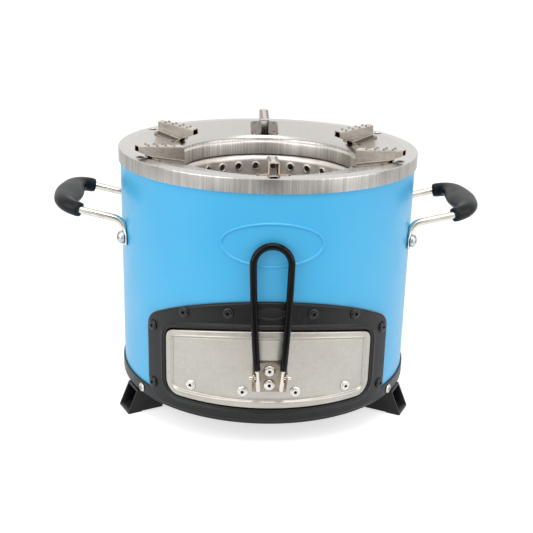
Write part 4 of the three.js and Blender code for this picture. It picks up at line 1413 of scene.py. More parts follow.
@dataclass
class PotSupports(Assembly):
    """The six folded pot supports, three reaching inwards and three outwards."""

    half: float = 5
    wall: float = 1.2
    seat: float = 0.3
    lift: float = 6.2
    tilt: float = 5.5
    tip_height: float = 6
    foot_half: float = 15
    foot_corner: float = 4.5
    neck_room: float = 0.5
    inward: tuple[float, float, float] = (85, 101.5, 128)
    outward: tuple[float, float, float] = (142, 96, 129)
    fold: float = 1.3
    bend: float = 1.7
    burr: float = 0.18
    end_facing: float = 0.85
    top_facing: float = 0.6
    nub: float = 1.4
    nub_height: float = 1.2
    nub_root: float = 1.2
    nub_inset: float = 1.75
    nub_pitch: float = 8.7
    nubs: int = 4
    weld_reach: float = 10.6
    weld_inset: float = 4.5
    block_low: float = 220
    block_height: float = 80
    wedge_low: float = 225
    wedge_half: float = 20
    over: float = 2
    clearance: float = 0.1
    facets: int = 16

    def build(self) -> None:
        """Builds both kinds once and fits three copies of each."""
        places = [(f"pot_support_{name}", f"support_{name}", radial(angle)) for name, angle in SPOKES.items()]
        for first, sizes in enumerate((self.inward, self.outward)):
            self.repeat(self._support(*sizes), Finish.SUPPORT, Body.STOVE, places[first::2], angle=35)

    def _top(self, reach: float) -> float:
        """Height of a support's top at a distance from the axis."""
        rise = (reach - self.inward[0]) * math.tan(math.radians(self.tilt))
        return self.trunk.top + self.lift + rise

    def _flange(self, reach: float) -> float:
        """Height of a support's flange, at its upper face."""
        return self.trunk.top - (self.trunk.flat - reach) * self.trunk.cone + self.seat + self.wall

    def _line(self, reach: float) -> list[Point]:
        """Section of the folded sheet at a distance from the axis.

        Args:
            reach: The distance.

        Returns:
            Corners from flange to flange, over the top.
        """
        top, low, fold, bend = self._top(reach), self._flange(reach), self.fold, self.bend
        right = [(self.foot_half, low), *arc((self.half + fold, low + fold), fold, -90, -180, 4),
                 *arc((self.half - bend, top - bend), bend, 0, 90, 5)]
        left = [(-x, z) for x, z in reversed(right)]
        return [(x, -reach, z) for x, z in right + left]

    def _support(self, tip: float, near: float, far: float) -> Piece:
        """Models one kind of support at the front of the body.

        Args:
            tip: Distance of its free end.
            near: Inner end of its foot.
            far: Outer end of its foot.

        Returns:
            The piece.
        """
        toe, flush = (near, far) if tip < near else (far, near)
        sheet = Bench.drawn("support", [self._line(r) for r in spread(tip, flush, 6)], closed=False)
        Bench.walled(sheet, self.wall, UP)
        Bench.cut(sheet, self._plan(tip, toe, flush), "INTERSECT")
        Bench.cut(sheet, self._wedge(tip, toe))
        Bench.clean(sheet)
        Bench.soften(sheet, self.burr, segments=1, angle=50)
        finishes = [Finish.SUPPORT, Finish.SHADED, Finish.TOP_HIGHLIGHT, Finish.EDGE]
        for finish in finishes:
            sheet.data.materials.append(finish.material())
        for face in sheet.data.polygons:
            face.material_index = finishes.index(self._finish(face))
        start = min(tip, flush) + (abs(flush - tip) - (self.nubs - 1) * self.nub_pitch) / 2
        parts = [self._nub(start + i * self.nub_pitch, side) for i in range(self.nubs) for side in (-1, 1)]
        spots = (near + self.weld_inset, far - self.weld_inset)
        parts += [self._weld(side, reach) for side in (-1, 1) for reach in spots]
        return Bench.join(sheet, *parts)

    def _finish(self, face: bpy.types.MeshPolygon) -> Finish:
        """Finish of a face of the folded sheet.

        Args:
            face: The face.

        Returns:
            That of a cut end, the inside painted near black as shade, the top painted lighter as highlight,
            or a plain side.
        """
        x, y, z = face.center / MM
        inside = self.clearance - self.wall
        if abs(face.normal.y) > self.end_facing:
            return Finish.EDGE
        # Faces inside the channel take the near-black painted shade.
        if abs(x) < self.half + inside and z < self._top(-y) + inside:
            return Finish.SHADED
        # Upward faces of the top take the lighter painted highlight.
        if abs(x) < self.half and face.normal.z > self.top_facing:
            return Finish.TOP_HIGHLIGHT
        return Finish.SUPPORT

    def _plan(self, tip: float, toe: float, flush: float) -> Piece:
        """The block that keeps the foot's rounded plan and the narrow free end.

        Args:
            tip: Distance of the free end.
            toe: Distance of the foot's end under the overhang.
            flush: Distance of its other end.

        Returns:
            The block.
        """
        way = 1 if flush > toe else -1
        corner, half, neck = self.foot_corner, self.foot_half, self.half + self.neck_room
        at_flush = arc((half - corner, 0), corner, 90, 0, 4)
        at_toe = arc((half - corner, 0), corner, 0, -90, 4)
        right = [(x, flush - way * (corner - y)) for x, y in at_flush]
        right += [(x, toe + way * (corner + y)) for x, y in at_toe]
        right += [(neck, toe), (neck, tip)]
        outline = right + [(-x, r) for x, r in reversed(right)]
        return Bench.slab("plan", [(x, -r, self.block_low) for x, r in outline], (0, 0, self.block_height))

    def _wedge(self, tip: float, toe: float) -> Piece:
        """The block that cuts away what hangs under the free end.

        Args:
            tip: Distance of the free end.
            toe: Distance of the foot's end.

        Returns:
            The block.
        """
        past = tip + self.over * (1 if tip > toe else -1)
        low, under = self.wedge_low, self._top(tip) - self.tip_height
        over = self._flange(toe) + self.clearance
        side = [(toe, low), (toe, over), (tip, under), (past, under), (past, low)]
        return Bench.slab("wedge", [(self.wedge_half, -r, z) for r, z in side], (-2 * self.wedge_half, 0, 0))

    def _nub(self, reach: float, side: int) -> Piece:
        """A pressed tooth on a top edge.

        Args:
            reach: Its distance from the axis.
            side: Edge that it stands on.

        Returns:
            The piece.
        """
        crown = arc((0, 0), 1, 0, 90, 5)
        dome = [(self.nub * x, self.nub_height * z) for x, z in crown]
        nub = Bench.turned("tooth", [(0, -self.nub_root), (self.nub, -self.nub_root), *dome], self.facets)
        Bench.move(nub, shifted(side * (self.half - self.nub_inset), -reach, self._top(reach)))
        nub.data.materials.append(Finish.SUPPORT.material())
        return nub

    def _weld(self, side: int, reach: float) -> Piece:
        """A spot weld on a flange.

        Args:
            side: Flange that it is on.
            reach: Its distance from the axis.

        Returns:
            The piece.
        """
        section = [(0, -0.2), (1.5, -0.2), (1.3, 0.12), (0.8, 0.16), (0.5, 0.06), (0, 0.02)]
        weld = Bench.turned("weld", section, self.facets)
        slope = Matrix.Rotation(-math.atan(self.trunk.cone), 4, "X")
        Bench.move(weld, shifted(side * self.weld_reach, -reach, self._flange(reach)) @ slope)
        weld.data.materials.append(Finish.WELD.material())
        return weld


@dataclass
class Firebox(Assembly):
    """The perforated firebox, its grate, the insulation, the deck and the guides."""

    radius: float = 86
    wall: float = 1
    low: float = 125.2
    high: float = 227.3
    shoulder: float = 5
    rim: float = 108
    lip: float = 10
    hole: float = 3.8
    flare: float = 0.55
    holes: int = 28
    rows: int = 4
    row_drop: float = 11.3
    row_pitch: float = 26
    cell_share: float = 0.3
    round_share: float = 1.09
    packing_gap: float = 13
    packing_room: float = 0.3
    packing_inset: float = 1.3
    packing_round: float = 2
    packing_facets: int = 120
    grate_edge: float = 0.8
    deck_edge: float = 0.25
    guide_edge: float = 0.4

    def build(self) -> None:
        """Builds and fits the firebox and what lies round it."""
        self._chamber()
        self._packing()
        self.carry("fire_grate", "charcoal_grate", Finish.IRON, Body.GRATE, self.grate_edge)
        self.carry("deck_sheet", "deck_plate", Finish.ZINC, Body.STOVE, self.deck_edge)
        for side in ("left", "right"):
            self.carry(f"side_guide_{side}", f"guide_{side}", Finish.ZINC, Body.STOVE, self.guide_edge)

    def _cell(self, pitch: float) -> Piece:
        """One cell of the perforated sheet, flat, with its hole.

        Args:
            pitch: Width of the cell.

        Returns:
            The piece, with its lower left corner at the origin.
        """
        Bench.free()
        bpy.ops.mesh.primitive_grid_add(x_subdivisions=4, y_subdivisions=4, size=1)
        cell = bpy.context.active_object
        cell.name = "cell"
        Bench.shape(cell)
        bpy.ops.transform.resize(value=(pitch * MM, self.row_pitch * MM, 1))
        wide, high = self.cell_share * pitch * MM, self.cell_share * self.row_pitch * MM

        def central(place: Vector) -> bool:
            """Whether a place lies near the middle of the cell."""
            return abs(place.x) < wide and abs(place.y) < high

        Bench.pick(cell, lambda f: central(f.calc_center_median()), faces=True)
        bpy.ops.mesh.delete(type="FACE")
        Bench.pick(cell, lambda v: v.is_boundary and central(v.co))
        self._place_hole(cell, self.hole + self.flare, 0)
        bpy.ops.mesh.extrude_region_move()
        self._place_hole(cell, self.hole, self.flare)
        Bench.all()
        bpy.ops.transform.rotate(value=-QUARTER_TURN, orient_axis="X", center_override=(0, 0, 0))
        bpy.ops.transform.translate(value=(pitch * MM / 2, 0, 0))
        Bench.free()
        return cell

    def _place_hole(self, cell: Piece, radius: float, depth: float) -> None:
        """Puts the selected corners of a hole on a circle, at a depth outside the sheet."""
        size = self.round_share * radius * MM
        Bench.shift(cell, lambda p: Vector((*(p.xy.normalized() * size), -depth * MM)))

    def _chamber(self) -> None:
        """Builds the firebox from a flat perforated sheet that is rolled up."""
        pitch = FULL_TURN * self.radius / self.holes
        cell = self._cell(pitch)
        first = self.high - self.row_drop
        strips = []
        for row in range(self.rows):
            shift = (row % 2) * pitch / 2
            strip = Bench.copy(cell, f"row_{row}", shifted(shift, 0, first - row * self.row_pitch))
            Bench.apply(strip, "ARRAY", count=self.holes, use_relative_offset=False,
                        use_constant_offset=True, constant_offset_displace=(pitch * MM, 0, 0))
            strips.append(strip)
        bpy.data.objects.remove(cell)
        sheet = Bench.join(*strips)
        sheet.name = sheet.data.name = "perforated_firebox"
        Bench.shape(sheet)
        bpy.ops.mesh.remove_doubles(threshold=CELL_SEAM)
        Bench.apply(sheet, "SUBSURF", levels=1, render_levels=1)
        ledge, foot = self.high - self.shoulder, self.low + self.wall
        Bench.shape(sheet)
        Bench.slice((0, 0, ledge * MM), UP, clear_outer=True)
        Bench.slice((0, 0, foot * MM), UP, clear_inner=True)
        Bench.bend(sheet, self.radius)
        Bench.shape(sheet)
        bpy.ops.mesh.remove_doubles(threshold=CELL_SEAM)
        self._rim(sheet, ledge)
        Bench.towards(sheet, UP)
        Bench.free()
        self._face_axis(sheet)
        Bench.thicken(sheet, self.wall)
        self.fit(sheet, Finish.FIREBOX, Body.STOVE, "combustion_chamber", angle=45)

    def _rim(self, sheet: Piece, ledge: float) -> None:
        """Draws the sheet's upper edge out into a shoulder and rim, and its lower edge in to a lip.

        Args:
            sheet: The rolled sheet in edit mode.
            ledge: Height where the shoulder starts.
        """
        middle = (self.radius + self.shoulder, ledge)
        path = arc(middle, self.shoulder, 180, 90, 5) + [(self.rim, self.high)]
        self._draw_out(sheet, path)
        foot = self.low + self.wall
        self._draw_out(sheet, [(self.radius, foot), (self.radius - self.lip, foot)])

    @staticmethod
    def _draw_out(sheet: Piece, path: Sequence[Flat]) -> None:
        """Extrudes a round edge of the sheet.

        Args:
            sheet: The sheet in edit mode.
            path: Pairs of radius and height; the edge stands at the first.
        """
        Bench.pick(sheet, lambda v: abs(v.co.z - path[0][1] * MM) < RIM_REACH)
        for (r0, z0), (r1, z1) in zip(path, path[1:]):
            bpy.ops.mesh.extrude_region_move(TRANSFORM_OT_translate={"value": (0, 0, (z1 - z0) * MM)})
            bpy.ops.transform.resize(value=(r1 / r0, r1 / r0, 1), center_override=(0, 0, z1 * MM))

    def _face_axis(self, sheet: Piece) -> None:
        """Turns the wall's faces to the body's axis, so that the sheet thickens outwards.

        Args:
            sheet: The sheet.
        """
        low, high = self.low * MM, (self.high - self.shoulder) * MM
        wall = [p for p in sheet.data.polygons if low < p.center.z < high]
        facing = sum(p.normal.x * p.center.x + p.normal.y * p.center.y for p in wall)
        if facing > 0:
            sheet.data.flip_normals()

    def _packing(self) -> None:
        """Builds the ring of insulation."""
        low, high = self.low, self.high - self.wall - self.packing_room
        inner, outer = self.radius + self.wall + self.packing_gap, self.trunk.radius - self.packing_inset
        section = [(inner, low), (outer, low), (outer, high), (inner, high)]
        section = eased(section, dict.fromkeys(range(4), self.packing_round))
        ring = Bench.turned("wool_packing", section, self.packing_facets)
        self.fit(ring, Finish.WOOL, Body.STOVE, "insulation")


@dataclass
class Doorway(Assembly):
    """The black frame round the ash drawer, with its bead, blank badge and rivets."""

    gap: float = 1.2
    wall: float = 1.3
    badge: Oval = Oval(14, 6.3, 110.7)
    rivets: tuple[Flat, ...] = ((38.5, 109.2), (82.4, 103), (121.7, 80), (122.5, 21))
    rivet_reach: float = 149.5

    def build(self) -> None:
        """Builds and fits the frame and its eight rivets."""
        drawer, frame = self.trunk.drawer, self.trunk.frame
        rim = [(0, 4.0), (0, 2.2), (-0.3, 1.45), (-0.9, 0.98), (-1.8, 0.8)]
        bead = [(7.4, 0.8), (6.3, 0.55), (5.75, 0.1), (5.35, -0.45), (5.0, -0.7), (4.6, -0.72), (4.2, -0.5),
                (3.8, 0), (3.3, 0.28), (2.7, 0.25), (2.2, 0.2), (1.8, 0.4), (1.45, 0.9), (self.gap, 1.6),
                (self.gap, 2.4)]
        lines = [self.trunk.loop(frame, margin, depth) for margin, depth in rim]
        lines += [self.trunk.loop(drawer, margin, depth) for margin, depth in bead]
        plate = Bench.drawn("door_surround", lines, closed=True)
        Bench.walled(plate, self.wall, TO_FRONT)
        Bench.join(plate, self._badge())
        Bench.roll(plate, self.trunk.front)
        self.fit(plate, Finish.BLACK, Body.STOVE, "door_frame", angle=40)
        places = self.studs("surround_rivet", "frame_rivet", both_sides(self.rivets), self.rivet_reach)
        self.repeat(Rivet("rivet_model").model(Finish.GLOSS), Finish.GLOSS, Body.STOVE, places)

    def _badge(self) -> Piece:
        """The blank raised badge over the drawer, closed and flat."""
        steps = [(0, 1.2), (0, 0.25), (-0.3, -0.15), (-0.8, -0.3), (-1.3, -0.2), (-1.8, 0.4), (-2.3, 0.45)]
        return Bench.tube("badge", [self.trunk.loop(self.badge, margin, depth) for margin, depth in steps])


@dataclass
class Drawer(Assembly):
    """The ash drawer: sunk stainless front, tray, rivets and the handle's bracket with its pin."""

    wall: float = 0.8
    sunk: float = 1.3
    tray_rivets: tuple[Flat, ...] = ((24.4, 33.2), (75.7, 31.6))
    tray_rivet_reach: float = 148.7
    bracket_rivets: tuple[Flat, ...] = ((0, 41.8), (0, 55.7))
    bracket_rivet_reach: float = 150.7
    fill_inset: float = 0.3
    tray_edge: float = 0.3
    bracket_edge: float = 0.35
    pin: float = 1.75
    pin_inner: float = 10.4
    pin_outer: float = 18.8
    pin_round: float = 0.6
    pin_facets: int = 24

    def build(self) -> None:
        """Builds and fits the drawer."""
        self._front()
        self.carry("drawer_tray", "ash_tray", Finish.ZINC, Body.DRAWER, self.tray_edge)
        self.carry("pivot_bracket", "handle_bracket", Finish.BRACKET, Body.DRAWER, self.bracket_edge)
        self._pin()
        places = self.studs("front_rivet", "tray_rivet", both_sides(self.tray_rivets), self.tray_rivet_reach)
        places += self.studs("plate_rivet", "bracket_rivet", self.bracket_rivets, self.bracket_rivet_reach)
        self.repeat(Rivet("rivet_model").model(Finish.ALUMINIUM), Finish.ALUMINIUM, Body.DRAWER, places)

    def _front(self) -> None:
        """Builds the front: an edge turned back, a raised border with a ridge inside it, and a sunk field."""
        outline, sunk = self.trunk.drawer, self.sunk
        border = [(0, 4.0), (0, 0.7), (-0.15, 0.2), (-0.5, -0.2), (-1.1, -0.42), (-2.2, -0.48), (-4.8, -0.45)]
        ridge = [(-5.3, -0.7), (-5.7, -0.86), (-6.1, -0.8), (-6.5, -0.4), (-6.9, 0.25), (-7.3, sunk - 0.3)]
        field = [(-7.8, sunk), (-8.3, sunk - 0.05), (-8.7, sunk - 0.25), (-9.1, sunk - 0.25), (-9.6, sunk)]
        rows = border + ridge + field
        lines = [self.trunk.loop(outline, margin, depth) for margin, depth in rows]
        plate = Bench.drawn("drawer_face", lines, closed=True)
        bpy.ops.mesh.edge_face_add()
        bpy.ops.mesh.inset(thickness=self.fill_inset * MM)
        Bench.walled(plate, self.wall, TO_FRONT)
        Bench.roll(plate, self.trunk.front)
        self.fit(plate, Finish.FRONT, Body.DRAWER, "drawer_front", angle=40)

    def _pin(self) -> None:
        """Builds the pivot: a short pin with rounded ends through each ear of the bracket."""
        inner, outer, rounding = self.pin_inner, self.pin_outer, self.pin_round
        section = [(0, inner), (self.pin, inner), (self.pin, outer), (0, outer)]
        stub = Bench.turned("pivot_pins", eased(section, {1: rounding, 2: rounding}), self.pin_facets)
        place = shifted(0, -self.trunk.pivot_reach, self.trunk.pivot_height)
        other = Bench.copy(stub, "pivot_pin_left", place @ Matrix.Rotation(-QUARTER_TURN, 4, "Y"))
        Bench.move(stub, place @ Matrix.Rotation(QUARTER_TURN, 4, "Y"))
        self.fit(Bench.join(stub, other), Finish.CHROME, Body.DRAWER, "handle_pin")


@dataclass
class PullHandle(Assembly):
    """The wire bail on the drawer with its black sleeve."""

    wire: float = 2.1
    sleeve: float = 3.2
    length: float = 120.9
    half: float = 16.75
    waist: float = 15.6
    waist_rise: float = 54.5
    pivot_half: float = 11.3
    heel: float = 12.8
    heel_half: float = 10.1
    sleeve_start: float = 7
    mouth_depth: float = 0.02
    mouth_gap: float = 0.35
    lip_share: float = 0.93
    lip_step: float = 0.12
    sleeve_sides: int = 20
    heel_round: Flat = (0.3, 1.2)
    heel_shares: tuple[float, ...] = (0.3, 0.6, 0.85)
    tip_share: float = 0.72
    wire_sides: int = 16
    lean: float = 4.6

    def build(self) -> None:
        """Builds and fits the bail and its sleeve."""
        self.fit(self._wire(), Finish.CHROME, Body.HANDLE, "pull_handle", angle=50)
        self.fit(self._sleeve(), Finish.SLEEVE, Body.HANDLE, "handle_sleeve", angle=50)

    def _place(self, x: float, y: float) -> Vector:
        """Finds a point of the bail, which leans to the body.

        Args:
            x: Way to the right in the bail's plane.
            y: Way up from the pivot in that plane.

        Returns:
            The point.
        """
        lean = math.radians(self.lean)
        reach, height = self.trunk.pivot_reach, self.trunk.pivot_height
        return Vector((x, y * math.sin(lean) - reach, height + y * math.cos(lean)))

    def _line(self, start: float) -> list[Vector]:
        """Middle line of the bail, from one leg to the other.

        Args:
            start: Height above the pivot where it starts.

        Returns:
            The points.
        """
        straight = self.length - self.half
        foot = self.pivot_half + (self.waist - self.pivot_half) * start / self.waist_rise
        leg = bow((foot, start), (self.waist, self.waist_rise), (self.half, straight), 14)
        top = arc((0, straight), self.half, 0, 180, 28)
        other = [(-x, y) for x, y in reversed(leg)]
        return [self._place(x, y) for x, y in leg + top[1:-1] + other]

    def _wire(self) -> Piece:
        """Builds the wire with a rounded heel on each leg.

        Returns:
            The piece.
        """
        heel, half, out = self.heel, self.heel_half, self.pivot_half - self.heel_half
        aside, above = self.heel_round
        low = [self._place(half, -heel), self._place(half + aside, -heel + above)]
        low += [self._place(half + out * t, -heel + heel * t) for t in self.heel_shares]
        line = low + self._line(0) + [Vector((-p.x, p.y, p.z)) for p in reversed(low)]
        tip = self.tip_share * self.wire
        return Bar.round("bail_wire", line, self.wire, {0: tip, -1: tip}, self.wire_sides)

    def _sleeve(self) -> Piece:
        """Builds the sleeve with rounded mouths.

        Returns:
            The piece.
        """
        line = self._line(self.sleeve_start)
        before = line[0] + (line[0] - line[1]).normalized() * self.mouth_depth
        after = line[-1] + (line[-1] - line[-2]).normalized() * self.mouth_depth
        line = [before, line[0], line[0].lerp(line[1], self.lip_step), *line[1:-1],
                line[-1].lerp(line[-2], self.lip_step), line[-1], after]
        mouth, lip = self.wire + self.mouth_gap, self.lip_share * self.sleeve
        return Bar.round("bail_sleeve", line, self.sleeve, {0: mouth, 1: lip, -2: lip, -1: mouth},
                         self.sleeve_sides)


@dataclass
class SideHandle(Assembly):
    """One side handle: a plated wire loop with flattened ends, its screws and its thick black grip."""

    side: str = "right"
    angle: float = 70.7
    strap: float = 147.2
    strap_low: float = 166
    strap_half: float = 7.5
    strap_wall: float = 2.6
    wire: float = 3.6
    rise: float = 191
    slope: float = 0.232
    reach: float = 198
    corner: float = 24
    bend: float = 11
    grip_start: float = 180
    grip_room: float = 1
    grip_end: float = 7.3
    grip_middle: float = 14
    grip_height: float = 14.6
    screw_height: float = 174.2
    screw_reach: float = 148.8
    casing_gap: float = 0.15
    step_out: float = 0.5
    wire_sides: int = 20
    grip_sides: int = 28

    def build(self) -> None:
        """Builds and fits the loop, its grip and its two screws."""
        turn = Matrix.Rotation(math.pi if self.side == "left" else 0, 4, "Z")
        parts = ((self._loop(), Finish.CHROME, "side_handle"), (self._grip(), Finish.GRIP, "side_grip"))
        for piece, finish, node in parts:
            Bench.move(piece, turn)
            self.fit(piece, finish, Body.STOVE, f"{node}_{self.side}", angle=60)
        way = 1 if self.side == "right" else -1
        places = [(f"strap_screw_{self.side}_{place}", f"handle_screw_{self.side}_{place}",
                   radial(way * angle, self.screw_reach, self.screw_height))
                  for place, angle in (("front", self.angle), ("rear", 180 - self.angle))]
        screw = Screw("handle_screw_model", head=6.4, crown=5.2, shank=2.5, length=4).model()
        self.repeat(screw, Finish.ZINCED, Body.STOVE, places)

    def _corners(self) -> list[Vector]:
        """Corners of the wire's line.

        Returns:
            The corners, from the front strap to the middle of the loop.
        """
        angle = math.radians(self.angle)
        x, y = self.strap * math.sin(angle), -self.strap * math.cos(angle)
        high = self.rise + (self.reach - x) * self.slope
        return [Vector((x, y, self.strap_low)), Vector((x, y, self.rise)), Vector((self.reach, y, high)),
                Vector((self.reach, 0, high))]

    @staticmethod
    def _rounded(start: Vector, corner: Vector, end: Vector, size: float, steps: int) -> list[Vector]:
        """Rounds a corner of a line in space.

        Args:
            start: Point before the corner.
            corner: The corner.
            end: Point after it.
            size: Distance from the corner to the ends of its rounding.
            steps: Number of chords.

        Returns:
            The points of the rounding.
        """
        first = corner + (start - corner).normalized() * size
        last = corner + (end - corner).normalized() * size
        return [first * (1 - t) ** 2 + corner * 2 * t * (1 - t) + last * t**2 for t in spread(0, 1, steps)]

    def _half_line(self) -> list[Vector]:
        """Half of the wire's line.

        Returns:
            Its points, up to the middle of the loop.
        """
        low, heel, corner, middle = self._corners()
        bend = self._rounded(low, heel, corner, self.bend, 10)
        turn = self._rounded(heel, corner, middle, self.corner, 12)
        return [*bend, *[bend[-1].lerp(turn[0], t) for t in (0.33, 0.67)], *turn,
                *[turn[-1].lerp(middle, t) for t in (0.5, 1)]]

    def _mirrored(self, stations: Sequence[Station]) -> list[Station]:
        """Adds the mirror image of half a bar across the body's middle plane.

        Args:
            stations: Stations of one half; the last lies on the plane.

        Returns:
            The stations of the whole bar.
        """
        flip = Matrix.Diagonal((1, -1, 1))
        others = [Station(flip @ s.middle, -(flip @ s.along), flip @ s.across, s.half_width, s.half_height)
                  for s in reversed(stations[:-1])]
        return [*stations, *others]

    def _loop(self) -> Piece:
        """Builds the wire loop with a strap pressed flat at each end.

        Returns:
            The piece.
        """
        angle = math.radians(self.angle)
        out = Vector((math.sin(angle), -math.cos(angle), 0))
        side = Vector((math.cos(angle), math.sin(angle), 0))
        low = self._corners()[0]
        half, wall = self.strap_half, self.strap_wall / 2
        strap = ((0.05, 0.4, 0.75), (0.5, 0.66, 1), (1.6, 0.86, 1.05), (3.6, 0.98, 1.1), (6, 1, 1.12),
                 (10.5, 1, 1.12), (12.6, 0.93, 1.2))
        ends = [Station(low + Vector((0, 0, rise)), Vector(UP), side, half * wide, wall * thick)
                for rise, wide, thick in strap]
        line = self._half_line()
        tube = Bar.along(line, side, lambda i, run: (self.wire, self.wire), Vector((0, 1, 0)))
        blend = [(0.8, 0.5), (0.66, 0.62), (0.57, 0.8), (0.52, 0.93)]
        for i, (wide, thick) in enumerate(blend):
            s = tube[i]
            middle = s.middle + out * self.step_out * (1 - thick)
            tube[i] = Station(middle, s.along, s.across, half * wide, self.wire * thick)
        loop = Bar.make(f"side_loop_{self.side}", self._mirrored([*ends, *tube]), self.wire_sides)
        limit = (self.trunk.radius + self.casing_gap) * MM
        Bench.shape(loop)
        Bench.shift(loop, lambda p: Vector((*(p.xy.normalized() * max(p.xy.length, limit)), p.z)))
        Bench.free()
        return loop

    def _grip(self) -> Piece:
        """Builds the thick grip, with a rim at each end and its widest part at the middle.

        Returns:
            The piece.
        """
        line = [p for p in self._half_line() if p.x > self.grip_start + self.grip_room]
        corner = self._corners()[2]
        start = Vector((self.grip_start, corner.y, corner.z - (self.reach - self.grip_start) * self.slope))
        ahead = (line[0] - start).normalized()
        gap = (line[0] - start).length
        line = [start + ahead * (gap * t) for t in (0, 0.06, 0.2, 0.42, 0.62, 0.82)] + line
        lengths = [0.0]
        for before, after in zip(line, line[1:]):
            lengths.append(lengths[-1] + (after - before).length)
        total = lengths[-1]
        rim = {0: 0.78, 1: 0.9, 2: 0.95, 3: 0.94, 4: 0.9, 5: 0.93}

        def size(i: int, run: float) -> tuple[float, float]:
            """Sizes a ring of the grip.

            Args:
                i: The ring's place in the line.
                run: Length of the line up to it.

            Returns:
                Half its width and half its height.
            """
            t = min(1.0, run / total)
            swell = t * t * (3 - 2 * t)
            wide = self.grip_end + (self.grip_middle - self.grip_end) * swell
            part = rim.get(i, 1.0)
            return part * wide, part * self.grip_height / 2

        slope = Vector((1, 0, self.slope)).normalized()
        up = Vector((0, 1, 0)).cross(slope) * -1
        stations = [Station(s.middle, s.along, s.along.cross(up), s.half_width, s.half_height)
                    for s in Bar.along(line, ahead.cross(up), size, Vector((0, 1, 0)))]
        grip = Bar.make(f"grip_{self.side}", self._mirrored(stations), self.grip_sides)
        Bench.apply(grip, "SUBSURF", levels=1, render_levels=1)
        return grip


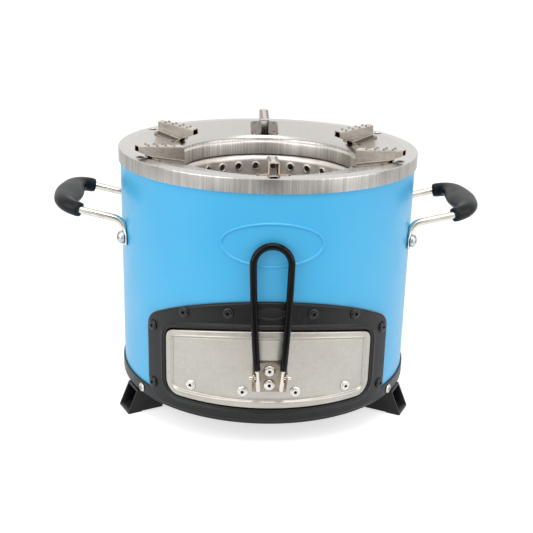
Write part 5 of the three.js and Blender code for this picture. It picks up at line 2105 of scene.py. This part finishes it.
class Studio:
    """The floor, the light and the camera."""

    FOCUS = 924.88
    PIXELS = 533
    SENSOR = 36
    EYE = (3.67, -909.10, 441.8)
    TARGET = (3.67, 0.0, 128.4)
    TURN = 2.7
    ROLL = 0.027
    SHIFT = (-0.0040, 0.0006)
    NEAREST, FARTHEST = 0.02, 50
    AIM = (0, 0, 130)
    FLOOR_SIDE, FLOOR_GREY, FLOOR_SEEN, FLOOR_SHINE = 12, 0.84, 0.62, 0.35
    SURROUND = (0.5, 1.0)
    LAMPS = (
        ("key", (-820, -640, 620), 900, 4.6),
        ("fill", (860, -560, 560), 900, 3.2),
        ("crown", (60, -380, 1150), 700, 4.0),
    )
    CARDS = (
        ("grey_floor_strip", (0, -1300, 4), (560, 900), UP, 0.95),
        ("dark_floor_strip", (0, -650, 4), (1300, 400), UP, 0.24),
        ("dark_camera_stand", (0, -1300, 620), (360, 1200), (0, 1, 0), 0.15),
        ("dark_skirting_left", (-2000, 0, 90), (180, 3000), (1, 0, 0), 0.04),
        ("dark_skirting_right", (2000, 0, 90), (180, 3000), (-1, 0, 0), 0.04),
    )

    def build(self) -> None:
        """Builds the studio."""
        self._floor()
        self._world()
        for row in self.LAMPS:
            self._lamp(*row)
        for row in self.CARDS:
            self._card(*row)
        self._camera()

    @staticmethod
    def _sheet(name: str, size: float, board: Board) -> Piece:
        """Adds a square stage sheet.

        Args:
            name: Its name.
            size: Length of its sides in metres.
            board: Board of its material.

        Returns:
            The sheet.
        """
        Bench.free()
        bpy.ops.mesh.primitive_plane_add(size=size)
        sheet = bpy.context.active_object
        sheet.name = name
        sheet.data.materials.append(board.material)
        return sheet

    @staticmethod
    def _card(name: str, place: Point, size: Flat, facing: Point, glow: float) -> None:
        """Adds a grey card that only reflections see.

        Args:
            name: Its name.
            place: Its middle.
            size: Its width and height.
            facing: Way that it looks.
            glow: How light it is, where 1 is white.
        """
        board = Board(name)
        board.glow(0, glow, 1.0)
        card = Studio._sheet(name, 1, board)
        turn = Vector(facing).to_track_quat("Z", "Y").to_matrix().to_4x4()
        card.data.transform(shifted(*place) @ turn @ Matrix.Diagonal((size[0] * MM, size[1] * MM, 1, 1)))
        card.visible_camera = card.visible_diffuse = card.visible_shadow = card.visible_transmission = False

    def _floor(self) -> None:
        """A white floor that keeps the stove's shadow."""
        board = Board("white_floor")
        board.glow(Studio.FLOOR_GREY, 1, 0.0)
        path = board.node("ShaderNodeLightPath", {})
        through = board.sum(path.outputs["Is Glossy Ray"], path.outputs["Is Transmission Ray"], "MAXIMUM")
        seen = board.ramp(path.outputs["Is Camera Ray"], 0, 1, 0, Studio.FLOOR_SEEN)
        shine = board.ramp(through, 0, 1, 0, Studio.FLOOR_SHINE)
        board.feed("Emission Strength", board.sum(seen, shine, "MAXIMUM"))
        floor = Studio._sheet("floor", Studio.FLOOR_SIDE, board)
        Bench.shape(floor)
        bpy.ops.mesh.subdivide(number_cuts=4)
        Bench.free()

    @staticmethod
    def _world() -> None:
        """A white surround: the camera and bright metal see it in full, and the rest as soft light."""
        world = bpy.data.worlds.new("surround")
        bpy.context.scene.world = world
        world.use_nodes = True
        tree = world.node_tree
        back = tree.nodes["Background"]
        back.inputs["Color"].default_value = (1, 1, 1, 1)
        path = tree.nodes.new("ShaderNodeLightPath")
        seen = path.outputs["Is Camera Ray"]
        for name in ("Is Glossy Ray", "Is Transmission Ray"):
            either = tree.nodes.new("ShaderNodeMath")
            either.operation = "MAXIMUM"
            tree.links.new(seen, either.inputs[0])
            tree.links.new(path.outputs[name], either.inputs[1])
            seen = either.outputs[0]
        level = tree.nodes.new("ShaderNodeMapRange")
        level.inputs["To Min"].default_value, level.inputs["To Max"].default_value = Studio.SURROUND
        tree.links.new(seen, level.inputs["Value"])
        tree.links.new(level.outputs["Result"], back.inputs["Strength"])

    @staticmethod
    def _lamp(name: str, place: Point, size: float, power: float) -> None:
        """Adds a soft square lamp that looks at the stove.

        Args:
            name: Its name.
            place: Where it hangs.
            size: Length of its sides.
            power: Its power in watts.
        """
        data = bpy.data.lights.new(name, "AREA")
        data.size = size * MM
        data.energy = power
        lamp = bpy.data.objects.new(name, data)
        bpy.context.scene.collection.objects.link(lamp)
        lamp.location = Vector(place) * MM
        aim = Vector(Studio.AIM) * MM - lamp.location
        lamp.rotation_mode = "QUATERNION"
        lamp.rotation_quaternion = aim.to_track_quat("-Z", "Y")

    def _camera(self) -> None:
        """Sets the camera where the photograph was taken from."""
        turn = Matrix.Rotation(math.radians(-self.TURN), 4, "Z")
        home = Vector((0, AXIS_Y, 0))
        eye = (turn @ Vector(self.EYE) + home) * MM
        target = (turn @ Vector(self.TARGET) + home) * MM
        data = bpy.data.cameras.new("camera")
        data.sensor_width = self.SENSOR
        data.lens = self.FOCUS * self.SENSOR / self.PIXELS
        data.shift_x, data.shift_y = self.SHIFT
        data.clip_start, data.clip_end = self.NEAREST, self.FARTHEST
        camera = bpy.data.objects.new("camera", data)
        bpy.context.scene.collection.objects.link(camera)
        camera.location = eye
        camera.rotation_mode = "QUATERNION"
        aim = (target - eye).to_track_quat("-Z", "Y")
        camera.rotation_quaternion = aim @ Matrix.Rotation(self.ROLL, 3, "Z").to_quaternion()
        bpy.context.scene.camera = camera


def assemblies() -> Iterable[Assembly]:
    """Makes the stove's sub-assemblies.

    Returns:
        The sub-assemblies in the order they are built.
    """
    yield Casing()
    yield Base()
    yield Cover()
    yield PotSupports()
    yield Firebox()
    yield Doorway()
    yield Drawer()
    yield PullHandle()
    yield SideHandle(side="right")
    yield SideHandle(side="left")


def main() -> None:
    """Dresses the stove and sets up the studio."""
    logging.basicConfig(level=logging.INFO, format="%(name)s: %(message)s")
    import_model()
    bpy.context.scene.view_settings.view_transform = "Standard"
    Studio().build()
    for assembly in assemblies():
        LOG.info("building %s", type(assembly).__name__)
        assembly.build()
    Bench.free()


if __name__ == "__main__":
    main()
